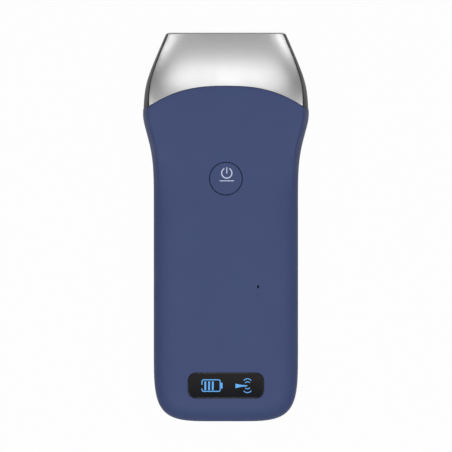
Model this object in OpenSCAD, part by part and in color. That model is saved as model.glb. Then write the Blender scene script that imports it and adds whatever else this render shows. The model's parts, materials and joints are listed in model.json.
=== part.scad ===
// Wireless ultrasound probe, lying on its back: +Z out of its front, +Y to its lens.
// The origin is the middle of the flat that it rests on. Lengths are in millimetres.
// A station is a distance along the probe from its tail end.

/* [Overall] */
// Length from the tail end to the crown of the lens
probe_len = 156; // [150:1:164]
// Width of the straight grip
grip_w = 58; // [57:0.5:62]
// Width over the shoulders
head_w = 66.8; // [65:0.2:70]
// Width of the head at its end
end_w = 48; // [47:0.2:52]
// Thickness from the rest face to the front face
body_t = 20; // [20:0.5:24]
// Thickness of the head at its end
end_t = 12.8; // [12.6:0.2:15]

/* [Outline] */
// Length over which the width rounds off at the tail
tail_len = 33.8; // [28:0.2:38]
// Flat width of the tail end
tail_tip_w = 24; // [23.5:0.5:27]
// Exponent of the rounding of the tail's width
tail_power = 4.95; // [4.3:0.05:5.6]
// Length over which the thickness rounds off at the tail
tail_round = 12; // [10:0.5:14]
// Flat thickness of the tail end
tail_tip_t = 11; // [10.5:0.5:13]
// Exponent of the rounding of the tail's thickness
round_power = 3; // [2.4:0.1:4]
// Distance of the widest shoulder from the head's end
head_len = 32.7; // [31:0.1:34]
// Length over which the grip flares to the shoulders
flare_len = 39.4; // [34:0.2:44]
// Length of the straight taper to the head's end
taper_len = 21; // [18:0.2:24]
// Size of the bend between the shoulder and the taper
shoulder_bend = 6.8; // [4:0.2:9]
// Length over which the thickness slopes down to the head's end
slope_len = 30; // [24:1:40]

/* [Section] */
// Exponent of the grip's cross-section
soft_power = 3.6; // [3.4:0.1:4.4]
// Width of the side band beside the face at the shoulder
band_w = 2.1; // [1.6:0.1:2.6]
// Width of the side band at the head's end
band_end_w = 0.7; // [0.5:0.1:1]
// Height of the face's crown over its edges
face_crown = 1.2; // [0.6:0.1:1.5]
// Depth of the rear's crown that the rest face cuts away
rear_sink = 0.5; // [0.4:0.05:0.6]
// Wall of the covers
wall = 1.8; // [1.6:0.1:2]
// Wall at the tail end
tail_wall = 3; // [2.8:0.1:3.4]
// Gap between the covers, which the seam gasket fills
seam_gap = 0.3; // [0.2:0.05:0.4]

/* [Head] */
// Distance of the arched edge's apex from the head's end
brow_len = 21.4; // [20:0.2:23]
// Drop of the arched edge from its apex to the side band
brow_drop = 8.4; // [7:0.2:9]
// Step from the covers down to the head
head_step = 0.15; // [0.1:0.05:0.25]
// Thickness of the metal fascias
fascia_t = 0.8; // [0.6:0.1:1]
// Width of the head shell's rim beside a fascia
rim_w = 0.25; // [0.2:0.05:0.4]
// Wall of the head shell under the fascias
head_wall = 1.6; // [1.4:0.1:1.8]
// Length of the neck that plugs into the covers
neck_len = 4; // [3:0.2:5]
// Thickness of the gasket between the head and the covers
gasket_t = 0.5; // [0.4:0.1:0.8]
// Height of the lens over the head's end
lens_proud = 0.5; // [0.4:0.1:0.8]

/* [Array] */
// Width of the row of elements
array_w = 39.2; // [38:0.2:40]
// Height of the elements
array_h = 6.4; // [6:0.1:6.6]
// Number of elements
element_count = 128; // [64:1:128]
// Thickness of the ceramic
ceramic_t = 0.6; // [0.5:0.05:0.8]
// Length of the backing block
backing_len = 9; // [7:0.5:10]

/* [Button] */
// Radius of the button's cap
button_r = 6.4; // [5.8:0.1:7]
// Gap round the cap
button_gap = 0.35; // [0.25:0.05:0.5]
// Distance of the button from the head's end
button_from_end = 58.6; // [57:0.2:61]
// Travel of the button
button_travel = 0.4; // [0.3:0.05:0.5]

/* [Display] */
// Width of the window
window_w = 30.4; // [28:0.2:31]
// Height of the window
window_l = 10.2; // [9.6:0.1:11]
// Station of the window's middle
window_at = 14.4; // [14:0.1:15]
// Thickness of the window
window_t = 1.3; // [1.2:0.1:1.5]

/* [Port] */
// Width of the port's flap
flap_w = 14; // [13:0.2:14.4]
// Height of the port's flap
flap_h = 6.4; // [6:0.1:6.8]
// Thickness of the flap
flap_t = 1.2; // [1:0.05:1.3]

/* [Battery] */
// Thickness of the cell
cell_t = 8; // [7:0.1:8.2]
// Station where the cell starts
cell_at = 29; // [28.6:0.1:31]
// Gap from the cell's side to the inside of the cover
cell_side_gap = 4.2; // [4:0.1:5]

/* [Boards] */
// Thickness of the circuit boards
board_t = 1.2; // [1:0.1:1.3]
// Thickness of the chassis plate
chassis_t = 1; // [0.8:0.1:1.2]
// Distance of the sounder from the main board's side
sounder_in = 8.1; // [7.5:0.1:9]
// Station of the sounder
sounder_at = 54; // [52:0.5:56]

/* [Fasteners] */
// Radius of a case screw's shank
screw_r = 0.95; // [0.8:0.05:1]
// Radius of a case screw's head
screw_head_r = 1.8; // [1.6:0.1:2]
// Radius of a case screw's boss
boss_r = 2.7; // [2.6:0.1:2.8]
// Radius of a chassis post
post_r = 1.7; // [1.6:0.1:1.8]

/* [Hidden] */
$fn = 48;

blue = [0.28, 0.32, 0.46];
graphite = [0.19, 0.19, 0.2];
silver = [0.8, 0.81, 0.82];
rubber = [0.13, 0.13, 0.14];
steel = [0.62, 0.63, 0.65];
brass = [0.8, 0.65, 0.32];
board_green = [0.1, 0.33, 0.2];
chip_black = [0.12, 0.12, 0.13];
polyimide = [0.78, 0.45, 0.13];

// Clearances: a glued or seated face, a running fit, and how far cuts run past a face
fit = 0.05;
loose = 0.15;
over = 2;

// Stations and heights that several pieces share
shoulder_at = probe_len - head_len;
flare_at = shoulder_at - flare_len;
taper_at = probe_len - taper_len;
slope_at = probe_len - slope_len;
brow_at = probe_len - brow_len;
head_end = probe_len - lens_proud;
seam_z = body_t / 2;

// Counts of the surface grids
quarter_steps = 12;
edge_step = 4;
tail_rings = 9;
flare_rings = 11;
head_rings = 8;
edge_share = edge_step / quarter_steps;
flare_power = 2.33;
ring_power = 2.4;
brow_power = 2.55;
side_lean_share = 0.3;

function clamp01(v) = max(0, min(1, v));
function smooth(u) = u * u * (3 - 2 * u);
function flatten(lists) = [for (list = lists) each list];

// Share of the full size that is left at a distance from a rounded end
function end_share(distance, length, tip_share, power) =
    pow(1 - (1 - pow(tip_share, power)) * pow(clamp01(1 - distance / length), power), 1 / power);

// Distance that the tail's end moves in for an inset of the sides
function tail_in(inset) = inset * tail_wall / wall;

function bend(d) = (d + sqrt(d * d + shoulder_bend * shoulder_bend)) / 2;
bend_start = bend(shoulder_at - taper_at);
end_side = 4.3;
end_width = max(end_w, array_w + 2 * end_side);
taper_slope = (head_w - end_width) / 2 / (bend(taper_len) - bend_start);

// Half the width of the body at a station
function half_w(s, inset) =
    (grip_w / 2 - inset)
        * end_share(s - tail_in(inset), tail_len - tail_in(inset), tail_tip_w / grip_w, tail_power)
    + (head_w - grip_w) / 2 * smooth(pow(clamp01((s - flare_at) / flare_len), flare_power))
    - (s > shoulder_at ? taper_slope * (bend(s - taper_at) - bend_start) : 0);

function flare_share(s) = smooth(clamp01((s - flare_at) / flare_len));

// Height of the face over the seam at a station
function half_t(s, inset, sink) =
    (body_t / 2 - inset + sink * (1 - flare_share(s)))
        * end_share(s - tail_in(inset), tail_round - tail_in(inset), tail_tip_t / body_t, round_power)
    - (body_t - end_t) / 2 * pow(clamp01((s - slope_at) / slope_len), 2);

function band(s) =
    band_end_w + (band_w - band_end_w) * pow(clamp01((probe_len - s) / head_len), 1.5);

// A quarter of a cross-section, as [half width, height over the seam]. t runs from the
// side seam at 0 to the crown at 1: soft on the grip, with a crisp edge on the head
function soft_point(t, w, h) =
    [w * pow(cos(90 * t), 2 / soft_power), h * pow(sin(90 * t), 2 / soft_power)];
function face_drop(w, share) = face_crown * w / (head_w / 2) * share * share;
function crisp_point(t, w, h, band, crown_share = 1) =
    t < edge_share
        ? let (v = t / edge_share)
            [w - band * v * v, (h - crown_share * face_drop(w, 1)) * v]
        : let (v = (1 - t) / (1 - edge_share))
            [(w - band) * v, h - crown_share * face_drop(w, v)];
function quarter_point(t, s, inset, sink) =
    let (w = half_w(s, inset), h = half_t(s, inset, sink), k = flare_share(s))
    soft_point(t, w, h) * (1 - k) + crisp_point(t, w, h, band(s)) * k;

// Height of the skin over the seam at a place on the grip, or anywhere on the covers
function grip_z(x, s, inset) =
    half_t(s, inset, 0) * pow(1 - pow(abs(x) / half_w(s, inset), soft_power), 1 / soft_power);
function skin_z(x, s, inset) =
    let (w = half_w(s, inset), v = min(1, abs(x) / (w - band(s))))
    mix(grip_z(x, s, inset), half_t(s, inset, 0) - face_drop(w, v), flare_share(s));

// Station of the arched edge between the head and the covers
brow_x = head_w / 2 - band_w;
function brow(x) =
    brow_at - brow_drop * pow(min(abs(x), brow_x) / brow_x, brow_power)
    - side_lean_share * max(0, abs(x) - brow_x);
function edge_at(t) =
    let (a = brow(quarter_point(t, shoulder_at, 0, 0)[0]))
    let (b = brow(quarter_point(t, a, 0, 0)[0]))
    brow(quarter_point(t, b, 0, 0)[0]);

// Two triangles for the four corners of a grid cell
function two(a, b, c, d) = [[a, c, b], [a, d, c]];

module at_seam() translate([0, -probe_len / 2, seam_z]) children();
module on_floor() translate([0, -probe_len / 2, 0]) children();

// Nominal stations of a cover's rings, and where a ring lies for a t and an inset
rings = concat(
    [for (k = [0:tail_rings]) tail_len * pow(k / tail_rings, ring_power)],
    [for (k = [0:flare_rings]) flare_at + (brow_at - flare_at) * k / flare_rings]);
function ring_at(r, t, inset, gap) =
    r <= tail_len ? tail_in(inset) + r * (tail_len - tail_in(inset)) / tail_len
    : r <= flare_at ? r
    : flare_at + (r - flare_at) / (brow_at - flare_at) * (edge_at(t) - gap - flare_at);

arc_steps = 2 * quarter_steps;
edge_gap = gasket_t / 2 + fit;
head_gap = edge_gap + fit;
function arc_t(i) = (i <= quarter_steps ? i : arc_steps - i) / quarter_steps;
function arc_side(i) = i <= quarter_steps ? 1 : -1;
function arc(r, inset, sink) = [for (i = [0:arc_steps])
    let (s = ring_at(r, arc_t(i), inset, edge_gap), p = quarter_point(arc_t(i), s, inset, sink))
    [arc_side(i) * p[0], s, max(p[1], seam_gap / 2)]];

// One cover over the seam plane: outer skin, inner skin and the rims between them
module half_shell(sink) {
    outer = [for (r = rings) arc(r, 0, sink)];
    inner = [for (r = rings) arc(r, wall, 0)];
    n = arc_steps + 1;
    last = len(rings) - 1;
    skin = n * len(rings);
    skins = flatten([for (j = [0:last - 1], i = [0:arc_steps - 1])
        let (a = j * n + i, b = a + n)
        concat(two(a, b, b + 1, a + 1), two(skin + a, skin + a + 1, skin + b + 1, skin + b))]);
    seams = flatten([for (j = [0:last - 1])
        let (a = j * n, b = a + n, c = a + arc_steps, d = b + arc_steps)
        concat(two(a, skin + a, skin + b, b), two(c, d, skin + d, skin + c))]);
    rim = flatten([for (i = [0:arc_steps - 1])
        let (a = last * n + i) two(a, skin + a, skin + a + 1, a + 1)]);
    tail = [[for (i = [0:arc_steps]) arc_steps - i], [for (i = [0:arc_steps]) skin + i],
        [0, skin + arc_steps, arc_steps], [0, skin, skin + arc_steps]];
    polyhedron(flatten(concat(outer, inner)), concat(skins, seams, rim, tail));
}

// Places and heights of the bosses, posts and screws
boss_inset = 7.5;
head_boss_inset = 5.2;
tail_boss_at = 23;
head_boss_back = 10.3;
boss_sink = 1;
insert_r = 1.5;
insert_len = 4;
screw_grip = 5.4;
screw_len = 10;
screw_head_h = 1.3;
plug_t = 1.2;
tail_boss_x = grip_w / 2 - boss_inset;
head_boss_at = shoulder_at - head_boss_back;
head_boss_x = half_w(head_boss_at, 0) - head_boss_inset;
well_r = screw_head_r + loose * 2;
small_r = 0.75;
small_head_r = 1.4;
small_head_h = 0.8;
small_bite = 3;

// Stack of the inside, from the rear wall up
glue = 0.1;
coil_t = 0.7;
ferrite_t = 0.5;
foam_t = 0.5;
standoff_h = 0.5;
pad_t = 0.8;
coil_z = wall + glue;
ferrite_z = coil_z + coil_t + glue;
cell_z = ferrite_z + ferrite_t + glue;
foam_z = cell_z + cell_t;
chassis_z = foam_z + foam_t;
main_z = chassis_z + chassis_t + standoff_h;
main_top = main_z + board_t;
afe_z = chassis_z - pad_t - board_t;
afe_top = afe_z + board_t;
front_in = body_t - wall;

// Battery and the posts beside it
cell_from_end = 53;
cell_round = 2.6;
post_side_gap = 0.4;
post_back = 7;
cell_w = grip_w - 2 * (wall + cell_side_gap);
cell_end = probe_len - cell_from_end;
post_x = cell_w / 2 + post_side_gap + post_r;
post_stations = [cell_at + post_back, cell_end - post_back];
cell_board_w = 28;
cell_board_l = 2.2;
cell_board_h = 3.8;
cell_board_at = cell_at - loose - cell_board_l;
foam_inset = 4;

// Main board, chassis and analogue board
main_side_gap = 6.2;
main_gap = 2.4;
main_from_end = 43.5;
main_w = grip_w - 2 * (wall + main_side_gap);
main_at = cell_at - main_gap;
main_end = probe_len - main_from_end;
board_screw_side = 4;
board_screw_x = main_w / 2 - board_screw_side;
board_screw_back = 4.4;
board_screw_front = 8;
chassis_inset = 1;
sounder_x = main_w / 2 - sounder_in;
afe_gap = 2;
afe_from_end = 16.5;
afe_side_gap = 1.2;
afe_w = 2 * (head_boss_x - boss_r - afe_side_gap);
afe_at = cell_end + afe_gap;
afe_end = probe_len - afe_from_end;
afe_post_r = 1.8;
afe_post_side = 2;
afe_post_x = afe_w / 2 - afe_post_side;
afe_post_back = 2.3;
afe_post_at = shoulder_at - afe_post_back;
mezzanine_w = 24;
mezzanine_l = 3.5;
mezzanine_gap = 2;
mezzanine_at = afe_at + mezzanine_gap;
slot_margin = 1;
connector_l = 3.4;
connector_h = 1.2;
connector_w = 30;
connector_gap = 3.1;
chassis_gap = 2;
connector_at = afe_end - connector_l - connector_gap;
chassis_end = connector_at - chassis_gap;
pad_w = 32;
can_wall = 0.3;

// Stack of the array, from the lens back
stem_len = 2.6;
matching_t = 0.8;
array_gap = 0.2;
flex_t = 0.2;
frame_side = 1.4;
frame_face = 0.75;
frame_len = 10.8;
end_wall = 1.6;
neck_gap = 0.2;
neck_wall = 1.4;
side_wall = 2.8;
seal_in = 0.3;
matching_at = head_end - stem_len - matching_t;
ceramic_at = matching_at - ceramic_t;
backing_at = ceramic_at - backing_len;
frame_front = head_end - end_wall - glue;
opening_w = array_w + 2 * array_gap;
opening_h = array_h + 2 * array_gap;
array_flex_w = 28;

// Button, switch and sounder
button_at = probe_len - button_from_end;
cap_drop = 0.05;
flange_w = 1.1;
flange_t = 0.7;
stem_r = 1.5;
switch_w = 4.6;
switch_h = 1.5;
plunger_r = 1.15;
plunger_out = 0.6;
plunger_in = 0.65;
membrane_t = 0.5;
boot_w = 1.6;
boot_gap = 0.3;
plunger_top = main_top + switch_h + plunger_out;
flange_top = front_in - glue;
cap_bottom = flange_top - flange_t;
boot_z = cap_bottom - fit - membrane_t;
sounder_w = 5;
sounder_h = 2;
slot_r = 0.35;
slot_len = 0.6;
gasket_r = 2.2;

// Display and tail board
window_power = 4.5;
window_sink = 0.08;
tape_t = 0.2;
tape_w = 1.4;
rib_side = 2;
rib_end = 1.4;
rib_t = 1.3;
module_t = 1.5;
module_margin = 0.4;
window_z = body_t - window_t;
ledge_z = window_z - tape_t;
rib_z = ledge_z - rib_t;
module_z = rib_z - fit - module_t;
usb_w = 8.94;
usb_h = 3.26;
usb_len = 7.3;
usb_shell = 0.3;
tongue_w = 6.7;
tongue_t = 0.7;
tongue_in = 1.55;
tail_board_z = seam_z - usb_h / 2 - board_t;
tail_board_top = tail_board_z + board_t;
tail_board_w = 30;
tail_board_gap = 1.2;
tail_board_back = 1.5;
tail_board_at = tail_wall + tail_board_gap;
tail_board_end = tail_boss_at - tail_board_back;
tail_screw_x = 12.5;
tail_screw_back = 3;
tail_screw_at = tail_board_end - tail_screw_back;
tail_post_r = 1.9;
plug_w = 5.6;
plug_h = 2.4;
header_l = 2.6;

// Port flap
recess_gap = 0.15;
anchor_w = 1.9;
hinge_gap = 0.35;
barb_r = 0.9;
pip_w = 7.2;
pip_h = 1.9;
pip_len = 0.8;
flap_end = flap_w / 2 - flap_h / 2;
hinge_side = flap_w / 2 + flap_t / 2 + hinge_gap;
port_back = hinge_side + anchor_w + recess_gap;
port_gap = 0.12;

// Charging coil
coil_r = 18.5;
coil_in_r = 10.5;
coil_turns = 9;
coil_wire = 0.6;
coil_steps = 24;
coil_at = (cell_at + cell_end) / 2;
ferrite_w = 38;
pocket_margin = 0.4;
lead_r = 0.25;
lead_x = 0.35;

function mix(a, b, share) = a + (b - a) * share;

module at_bosses() {
    for (x = [-1, 1]) {
        translate([x * tail_boss_x, tail_boss_at, seam_z]) children(0);
        translate([x * head_boss_x, head_boss_at, seam_z]) children($children - 1);
    }
}
module at_posts() for (x = [-1, 1], s = post_stations) translate([x * post_x, s, 0]) children();
module at_board_screws()
    for (x = [-1, 1], s = [main_at + board_screw_back, main_end - board_screw_front])
        translate([x * board_screw_x, s, 0]) children();
module at_tail_screws()
    for (x = [-1, 1]) translate([x * tail_screw_x, tail_screw_at, 0]) children();
module at_afe_posts()
    for (x = [-1, 1]) translate([x * afe_post_x, afe_post_at, 0]) children();

// A block by its width across, its two stations, its foot and its height
module block(w, s0, s1, z, h, x = 0) translate([x - w / 2, s0, z]) cube([w, s1 - s0, h]);

// A bar along the probe with rounded long edges
module rounded_bar(w, s0, s1, z, h, r) {
    block(w - 2 * r, s0, s1, z, h);
    block(w, s0, s1, z + r, h - 2 * r);
    for (x = [r - w / 2, w / 2 - r], up = [r, h - r])
        translate([x, s0, z + up]) rotate([-90, 0, 0]) cylinder(h = s1 - s0, r = r);
}

// An open-topped can with thin walls
module can(w, s0, s1, z, h) difference() {
    block(w, s0, s1, z, h);
    block(w - 2 * can_wall, s0 + can_wall, s1 - can_wall, z - over, h - can_wall + over);
}

// Paths along the probe, as [station, height]
function s_bend(a, b, steps) =
    [for (k = [0:steps]) [mix(a[0], b[0], k / steps), mix(a[1], b[1], smooth(k / steps))]];
function u_bend(a, b, bulge, steps) = [for (k = [0:steps])
    let (turn = 180 * k / steps)
    [mix(a[0], b[0], k / steps) + bulge * sin(turn), mix(a[1], b[1], (1 - cos(turn)) / 2)]];
function rise(a, b, steps) = [for (k = [0:steps])
    let (turn = 90 * k / steps) [mix(a[0], b[0], sin(turn)), mix(a[1], b[1], 1 - cos(turn))]];
function unit(v) = v / norm(v);
function along(path, k) = unit(path[min(k + 1, len(path) - 1)] - path[max(k - 1, 0)]);

// A flat flex along a path
module ribbon(path, w, x = 0) {
    side = [for (k = [0:len(path) - 1]) let (d = along(path, k)) [-d[1], d[0]] * flex_t / 2];
    upper = [for (k = [0:len(path) - 1]) path[k] + side[k]];
    lower = [for (k = [len(path) - 1:-1:0]) path[k] - side[k]];
    translate([x, 0, 0]) rotate([90, 0, 90])
        linear_extrude(w, center = true) polygon(concat(upper, lower));
}

// A round lead along a path at one distance from the middle
lead_sides = 8;
module lead(path, x, r) {
    n = lead_sides;
    last = len(path) - 1;
    points = [for (k = [0:last], i = [0:n - 1])
        let (d = along(path, k), a = 360 * i / n)
        [x + r * cos(a), path[k][0] - r * sin(a) * d[1], path[k][1] + r * sin(a) * d[0]]];
    walls = flatten([for (k = [0:last - 1], i = [0:n - 1])
        let (a = k * n + i, b = k * n + (i + 1) % n) two(a, a + n, b + n, b)]);
    ends = [[for (i = [0:n - 1]) n - 1 - i], [for (i = [0:n - 1]) last * n + i]];
    polyhedron(points, concat(walls, ends));
}

// Outline of the window, grown or shrunk
window_steps = 40;
function window_point(k, grow) =
    let (a = 360 * k / window_steps, p = 2 / window_power)
    [(window_w / 2 + grow) * sign(cos(a)) * pow(abs(cos(a)), p),
        (window_l / 2 + grow) * sign(sin(a)) * pow(abs(sin(a)), p)];
module window_outline(grow) translate([0, window_at])
    polygon([for (k = [0:window_steps - 1]) window_point(k, grow)]);

// The cuts of the port: the flap's recess, its anchor and the way in to the socket
module port_cuts() at_seam() {
    h = flap_h + 2 * recess_gap;
    translate([-port_back, -over, -h / 2])
        cube([port_back + flap_end, over + flap_t + recess_gap, h]);
    translate([flap_end, -over, 0]) rotate([-90, 0, 0])
        cylinder(h = over + flap_t + recess_gap, r = h / 2);
    port_w = usb_w - usb_h;
    port_r = usb_h / 2 + port_gap;
    translate([-port_w / 2, 0, -port_r]) cube([port_w, tail_wall + over, 2 * port_r]);
    for (x = [-1, 1]) translate([x * port_w / 2, 0, 0]) rotate([-90, 0, 0])
        cylinder(h = tail_wall + over, r = port_r);
    translate([anchor_x, 0, 0]) rotate([-90, 0, 0])
        cylinder(h = tail_wall + over, r = barb_r + glue);
}
anchor_x = -hinge_side - anchor_w / 2;

// A boss from the seam into the skin of the front cover
module boss(x, s) translate([0, 0, seam_gap / 2])
    cylinder(h = skin_z(x, s, boss_sink) - seam_gap / 2, r = boss_r);
module cover_bosses() at_bosses() {
    boss(tail_boss_x, tail_boss_at);
    boss(head_boss_x, head_boss_at);
}

module front_cover() color(blue) on_floor() difference() {
    union() {
        translate([0, 0, seam_z]) half_shell(0);
        cover_bosses();
        block(window_w + 2 * rib_side, window_at - window_l / 2 - rib_end,
            window_at + window_l / 2 + rib_end, rib_z, ledge_z - rib_z);
    }
    translate([0, button_at, seam_z])
        cylinder(h = body_t, r = button_r + button_gap);
    translate([0, 0, ledge_z]) linear_extrude(body_t) window_outline(loose);
    translate([0, 0, seam_z]) linear_extrude(body_t) window_outline(-tape_w);
    block(2 * slot_r, sounder_at - slot_len / 2, sounder_at + slot_len / 2,
        seam_z, body_t, sounder_x);
    for (s = [-1, 1]) translate([sounder_x, sounder_at + s * slot_len / 2, seam_z])
        cylinder(h = body_t, r = slot_r);
    at_bosses() cylinder(h = insert_len + seam_gap, r = insert_r + fit);
    at_bosses() cylinder(h = screw_len - screw_grip + glue * 2, r = screw_r + fit * 2);
    translate([0, probe_len / 2, 0]) port_cuts();
}

module rear_cover() color(blue) on_floor() difference() {
    union() {
        difference() {
            translate([0, 0, seam_z]) mirror([0, 0, 1]) half_shell(rear_sink);
            block(ferrite_w + 2 * pocket_margin, coil_at - ferrite_w / 2 - pocket_margin,
                coil_at + ferrite_w / 2 + pocket_margin, wall, over);
        }
        translate([0, 0, body_t]) mirror([0, 0, 1]) cover_bosses();
        for (x = [-1, 1], s = post_stations)
            let (foot = seam_z - grip_z(post_x, s, boss_sink))
            translate([x * post_x, s, foot]) cylinder(h = chassis_z - foot, r = post_r);
        translate([0, 0, wall - glue]) at_tail_screws()
            cylinder(h = tail_board_z - wall + glue, r = tail_post_r);
        let (foot = seam_z - skin_z(afe_post_x, afe_post_at, boss_sink))
            translate([0, 0, foot]) at_afe_posts() cylinder(h = afe_z - foot, r = afe_post_r);
    }
    translate([-head_w, -over, -body_t]) cube([2 * head_w, probe_len, body_t]);
    at_bosses() translate([0, 0, -seam_z]) {
        translate([0, 0, -over]) cylinder(h = seam_z - screw_grip + over, r = well_r);
        cylinder(h = seam_z + over, r = screw_r + loose);
    }
    translate([0, 0, chassis_z - small_bite - loose]) at_posts()
        cylinder(h = small_bite + over, r = small_r + fit);
    translate([0, 0, tail_board_z - small_bite - loose]) at_tail_screws()
        cylinder(h = small_bite + over, r = small_r + fit);
    translate([0, probe_len / 2, 0]) port_cuts();
}

// Loops of the head: a quarter in even steps, or stepped down beside the fascia
loop_steps = quarter_steps + 2;
loop_n = 4 * loop_steps;
function plain_t(i) = i < edge_step ? edge_share * i / edge_step
    : mix(edge_share, 1, (i - edge_step) / (loop_steps - edge_step));
function step_t(i) = max(min(i, edge_step), i - 2) / quarter_steps;
function step_point(i, s) =
    let (t = step_t(i), w = half_w(s, head_step), h = half_t(s, head_step, 0), b = band(s))
    i <= edge_step ? crisp_point(t, w, h, b)
    : i == edge_step + 1 ? [w - b - rim_w, h - face_drop(w, 1)]
    : let (v = (1 - t) / (1 - edge_share), x = (w - b - rim_w) * v)
        [x, h - face_drop(w, x / (w - b)) - fascia_t - fit];
function quarter_index(i) =
    let (r = i % loop_steps) floor(i / loop_steps) % 2 == 0 ? r : loop_steps - r;
function x_side(i) = i < loop_steps || i >= 3 * loop_steps ? 1 : -1;
function z_side(i) = i < 2 * loop_steps ? 1 : -1;
function around(i, s, p) = [x_side(i) * p[0], s, z_side(i) * p[1]];

// Share of the head's length at a ring, closer together near the end
function head_share(k) = 1 - pow(1 - k / head_rings, 1.6);
function step_edge(i) = let (s = edge_at(step_t(i))) i <= edge_step ? s : brow(step_point(i, s)[0]);
function step_loop(share) = [for (i = [0:loop_n - 1])
    let (q = quarter_index(i), s = mix(step_edge(q) + head_gap, head_end, share))
    around(i, s, step_point(q, s))];
function rect_loop(w, h, s) = [for (i = [0:loop_n - 1])
    let (t = plain_t(quarter_index(i)))
    around(i, s, t < edge_share ? [w, h * t / edge_share] : [w * (1 - t) / (1 - edge_share), h])];
function inner_loop(share) = [for (i = [0:loop_n - 1])
    let (t = plain_t(quarter_index(i)), s = mix(edge_at(t) + head_gap, head_end - end_wall, share))
    around(i, s, crisp_point(t, half_w(s, head_step) - side_wall,
        half_t(s, head_step, 0) - fascia_t - fit - head_wall, band(s) * (1 - share), 1 - share))];
function cover_loop(inset, back) = [for (i = [0:loop_n - 1])
    let (t = plain_t(quarter_index(i)), s = edge_at(t) - back)
    around(i, s, quarter_point(t, s, inset, 0))];

// A ring-shaped solid through closed loops, the last joined to the first
module ring_solid(loops) {
    m = len(loops);
    polyhedron(flatten(loops), flatten([for (j = [0:m - 1], i = [0:loop_n - 1])
        let (a = j * loop_n, b = (j + 1) % m * loop_n, next = (i + 1) % loop_n)
        two(a + i, b + i, b + next, a + next)]));
}

module head_shell() color(graphite) at_seam() ring_solid(concat(
    [for (k = [0:head_rings]) step_loop(head_share(k))],
    [rect_loop(opening_w / 2, opening_h / 2, head_end)],
    [rect_loop(opening_w / 2, opening_h / 2, head_end - end_wall)],
    [for (k = [head_rings / 2:-1:0]) inner_loop(2 * k / head_rings)],
    [cover_loop(wall + neck_gap + neck_wall, neck_len)],
    [cover_loop(wall + neck_gap, neck_len)],
    [cover_loop(wall + neck_gap, -head_gap)]));

module head_gasket() color(rubber) at_seam() ring_solid([
    cover_loop(seal_in, gasket_t / 2), cover_loop(seal_in, -gasket_t / 2),
    cover_loop(wall + neck_gap / 2, -gasket_t / 2), cover_loop(wall + neck_gap / 2, gasket_t / 2)]);

// One fascia over the seam plane: a thin curved plate between the rims
fascia_steps = 16;
function fascia_x(s) = half_w(s, head_step) - band(s) - rim_w - fit;
function fascia_point(j, i, drop) =
    let (v = 1 - 2 * i / fascia_steps, t = 1 - abs(v) * (1 - edge_share))
    let (s = mix(brow(fascia_x(edge_at(t)) * v) + head_gap, head_end, head_share(j)))
    let (w = half_w(s, head_step), x = fascia_x(s) * v)
    [x, s, half_t(s, head_step, 0) - face_drop(w, abs(x) / (w - band(s))) - drop];
module fascia() color(silver) {
    n = fascia_steps + 1;
    top = [for (j = [0:head_rings], i = [0:fascia_steps]) fascia_point(j, i, 0)];
    under = [for (j = [0:head_rings], i = [0:fascia_steps]) fascia_point(j, i, fascia_t)];
    k = len(top);
    last = head_rings * n;
    faces = flatten([for (j = [0:head_rings - 1], i = [0:fascia_steps - 1])
        let (a = j * n + i, b = a + n)
        concat(two(a, b, b + 1, a + 1), two(k + a, k + a + 1, k + b + 1, k + b))]);
    ends = flatten([for (i = [0:fascia_steps - 1]) concat(
        two(i, i + 1, k + i + 1, k + i),
        two(last + i, k + last + i, k + last + i + 1, last + i + 1))]);
    sides = flatten([for (j = [0:head_rings - 1])
        let (a = j * n, b = a + n, c = a + fascia_steps, d = b + fascia_steps)
        concat(two(a, k + a, k + b, b), two(c, d, k + d, k + c))]);
    polyhedron(concat(top, under), concat(faces, ends, sides));
}
module front_fascia() at_seam() fascia();
module rear_fascia() at_seam() mirror([0, 0, 1]) fascia();

// The lens: loops that round off over the end, as shares of its height, and insets
lens_rise_share = [0, 0.5, 0.85, 1];
lens_side = [0.3, 0.4, 0.65, 1.3];
lens_face = [0.3, 0.8, 1.6, 3];
module acoustic_lens() color([0.4, 0.41, 0.42]) at_seam() {
    m = len(lens_rise_share);
    loops = [for (j = [0:m - 1]) [for (i = [0:loop_n - 1])
        let (s = head_end + lens_proud * lens_rise_share[j], t = plain_t(quarter_index(i)))
        around(i, s, crisp_point(t, half_w(head_end, head_step) - lens_side[j],
            half_t(head_end, head_step, 0) - lens_face[j], band(head_end)))]];
    walls = flatten([for (j = [0:m - 2], i = [0:loop_n - 1])
        let (a = j * loop_n, b = a + loop_n, next = (i + 1) % loop_n)
        two(a + i, b + i, b + next, a + next)]);
    caps = [[for (i = [0:loop_n - 1]) loop_n - 1 - i],
        [for (i = [0:loop_n - 1]) (m - 1) * loop_n + i]];
    union() {
        polyhedron(flatten(loops), concat(walls, caps));
        block(array_w, head_end - stem_len, head_end + lens_proud / 2, -array_h / 2, array_h);
    }
}

function seam_edge(inset, side) = [for (r = rings)
    let (s = ring_at(r, 0, inset, edge_gap)) [side * half_w(s, inset), s]];
function reverse(list) = [for (k = [len(list) - 1:-1:0]) list[k]];
module seam_gasket() color(rubber) at_seam() difference() {
    outer_in = seal_in + glue;
    inner_in = wall - seal_in;
    linear_extrude(seam_gap, center = true) polygon(concat(
        seam_edge(outer_in, -1), reverse(seam_edge(inner_in, -1)),
        seam_edge(inner_in, 1), reverse(seam_edge(outer_in, 1))));
    cut_w = 2 * (port_back + recess_gap);
    translate([-cut_w / 2, -over, -over]) cube([cut_w, tail_wall + 2 * over, 2 * over]);
}

module power_button() color(blue) on_floor() translate([0, button_at, 0]) {
    translate([0, 0, cap_bottom])
        cylinder(h = body_t - cap_drop - cap_bottom, r = button_r);
    translate([0, 0, cap_bottom]) cylinder(h = flange_t, r = button_r + flange_w);
    translate([0, 0, plunger_top]) cylinder(h = cap_bottom - plunger_top, r = stem_r);
}

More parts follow.
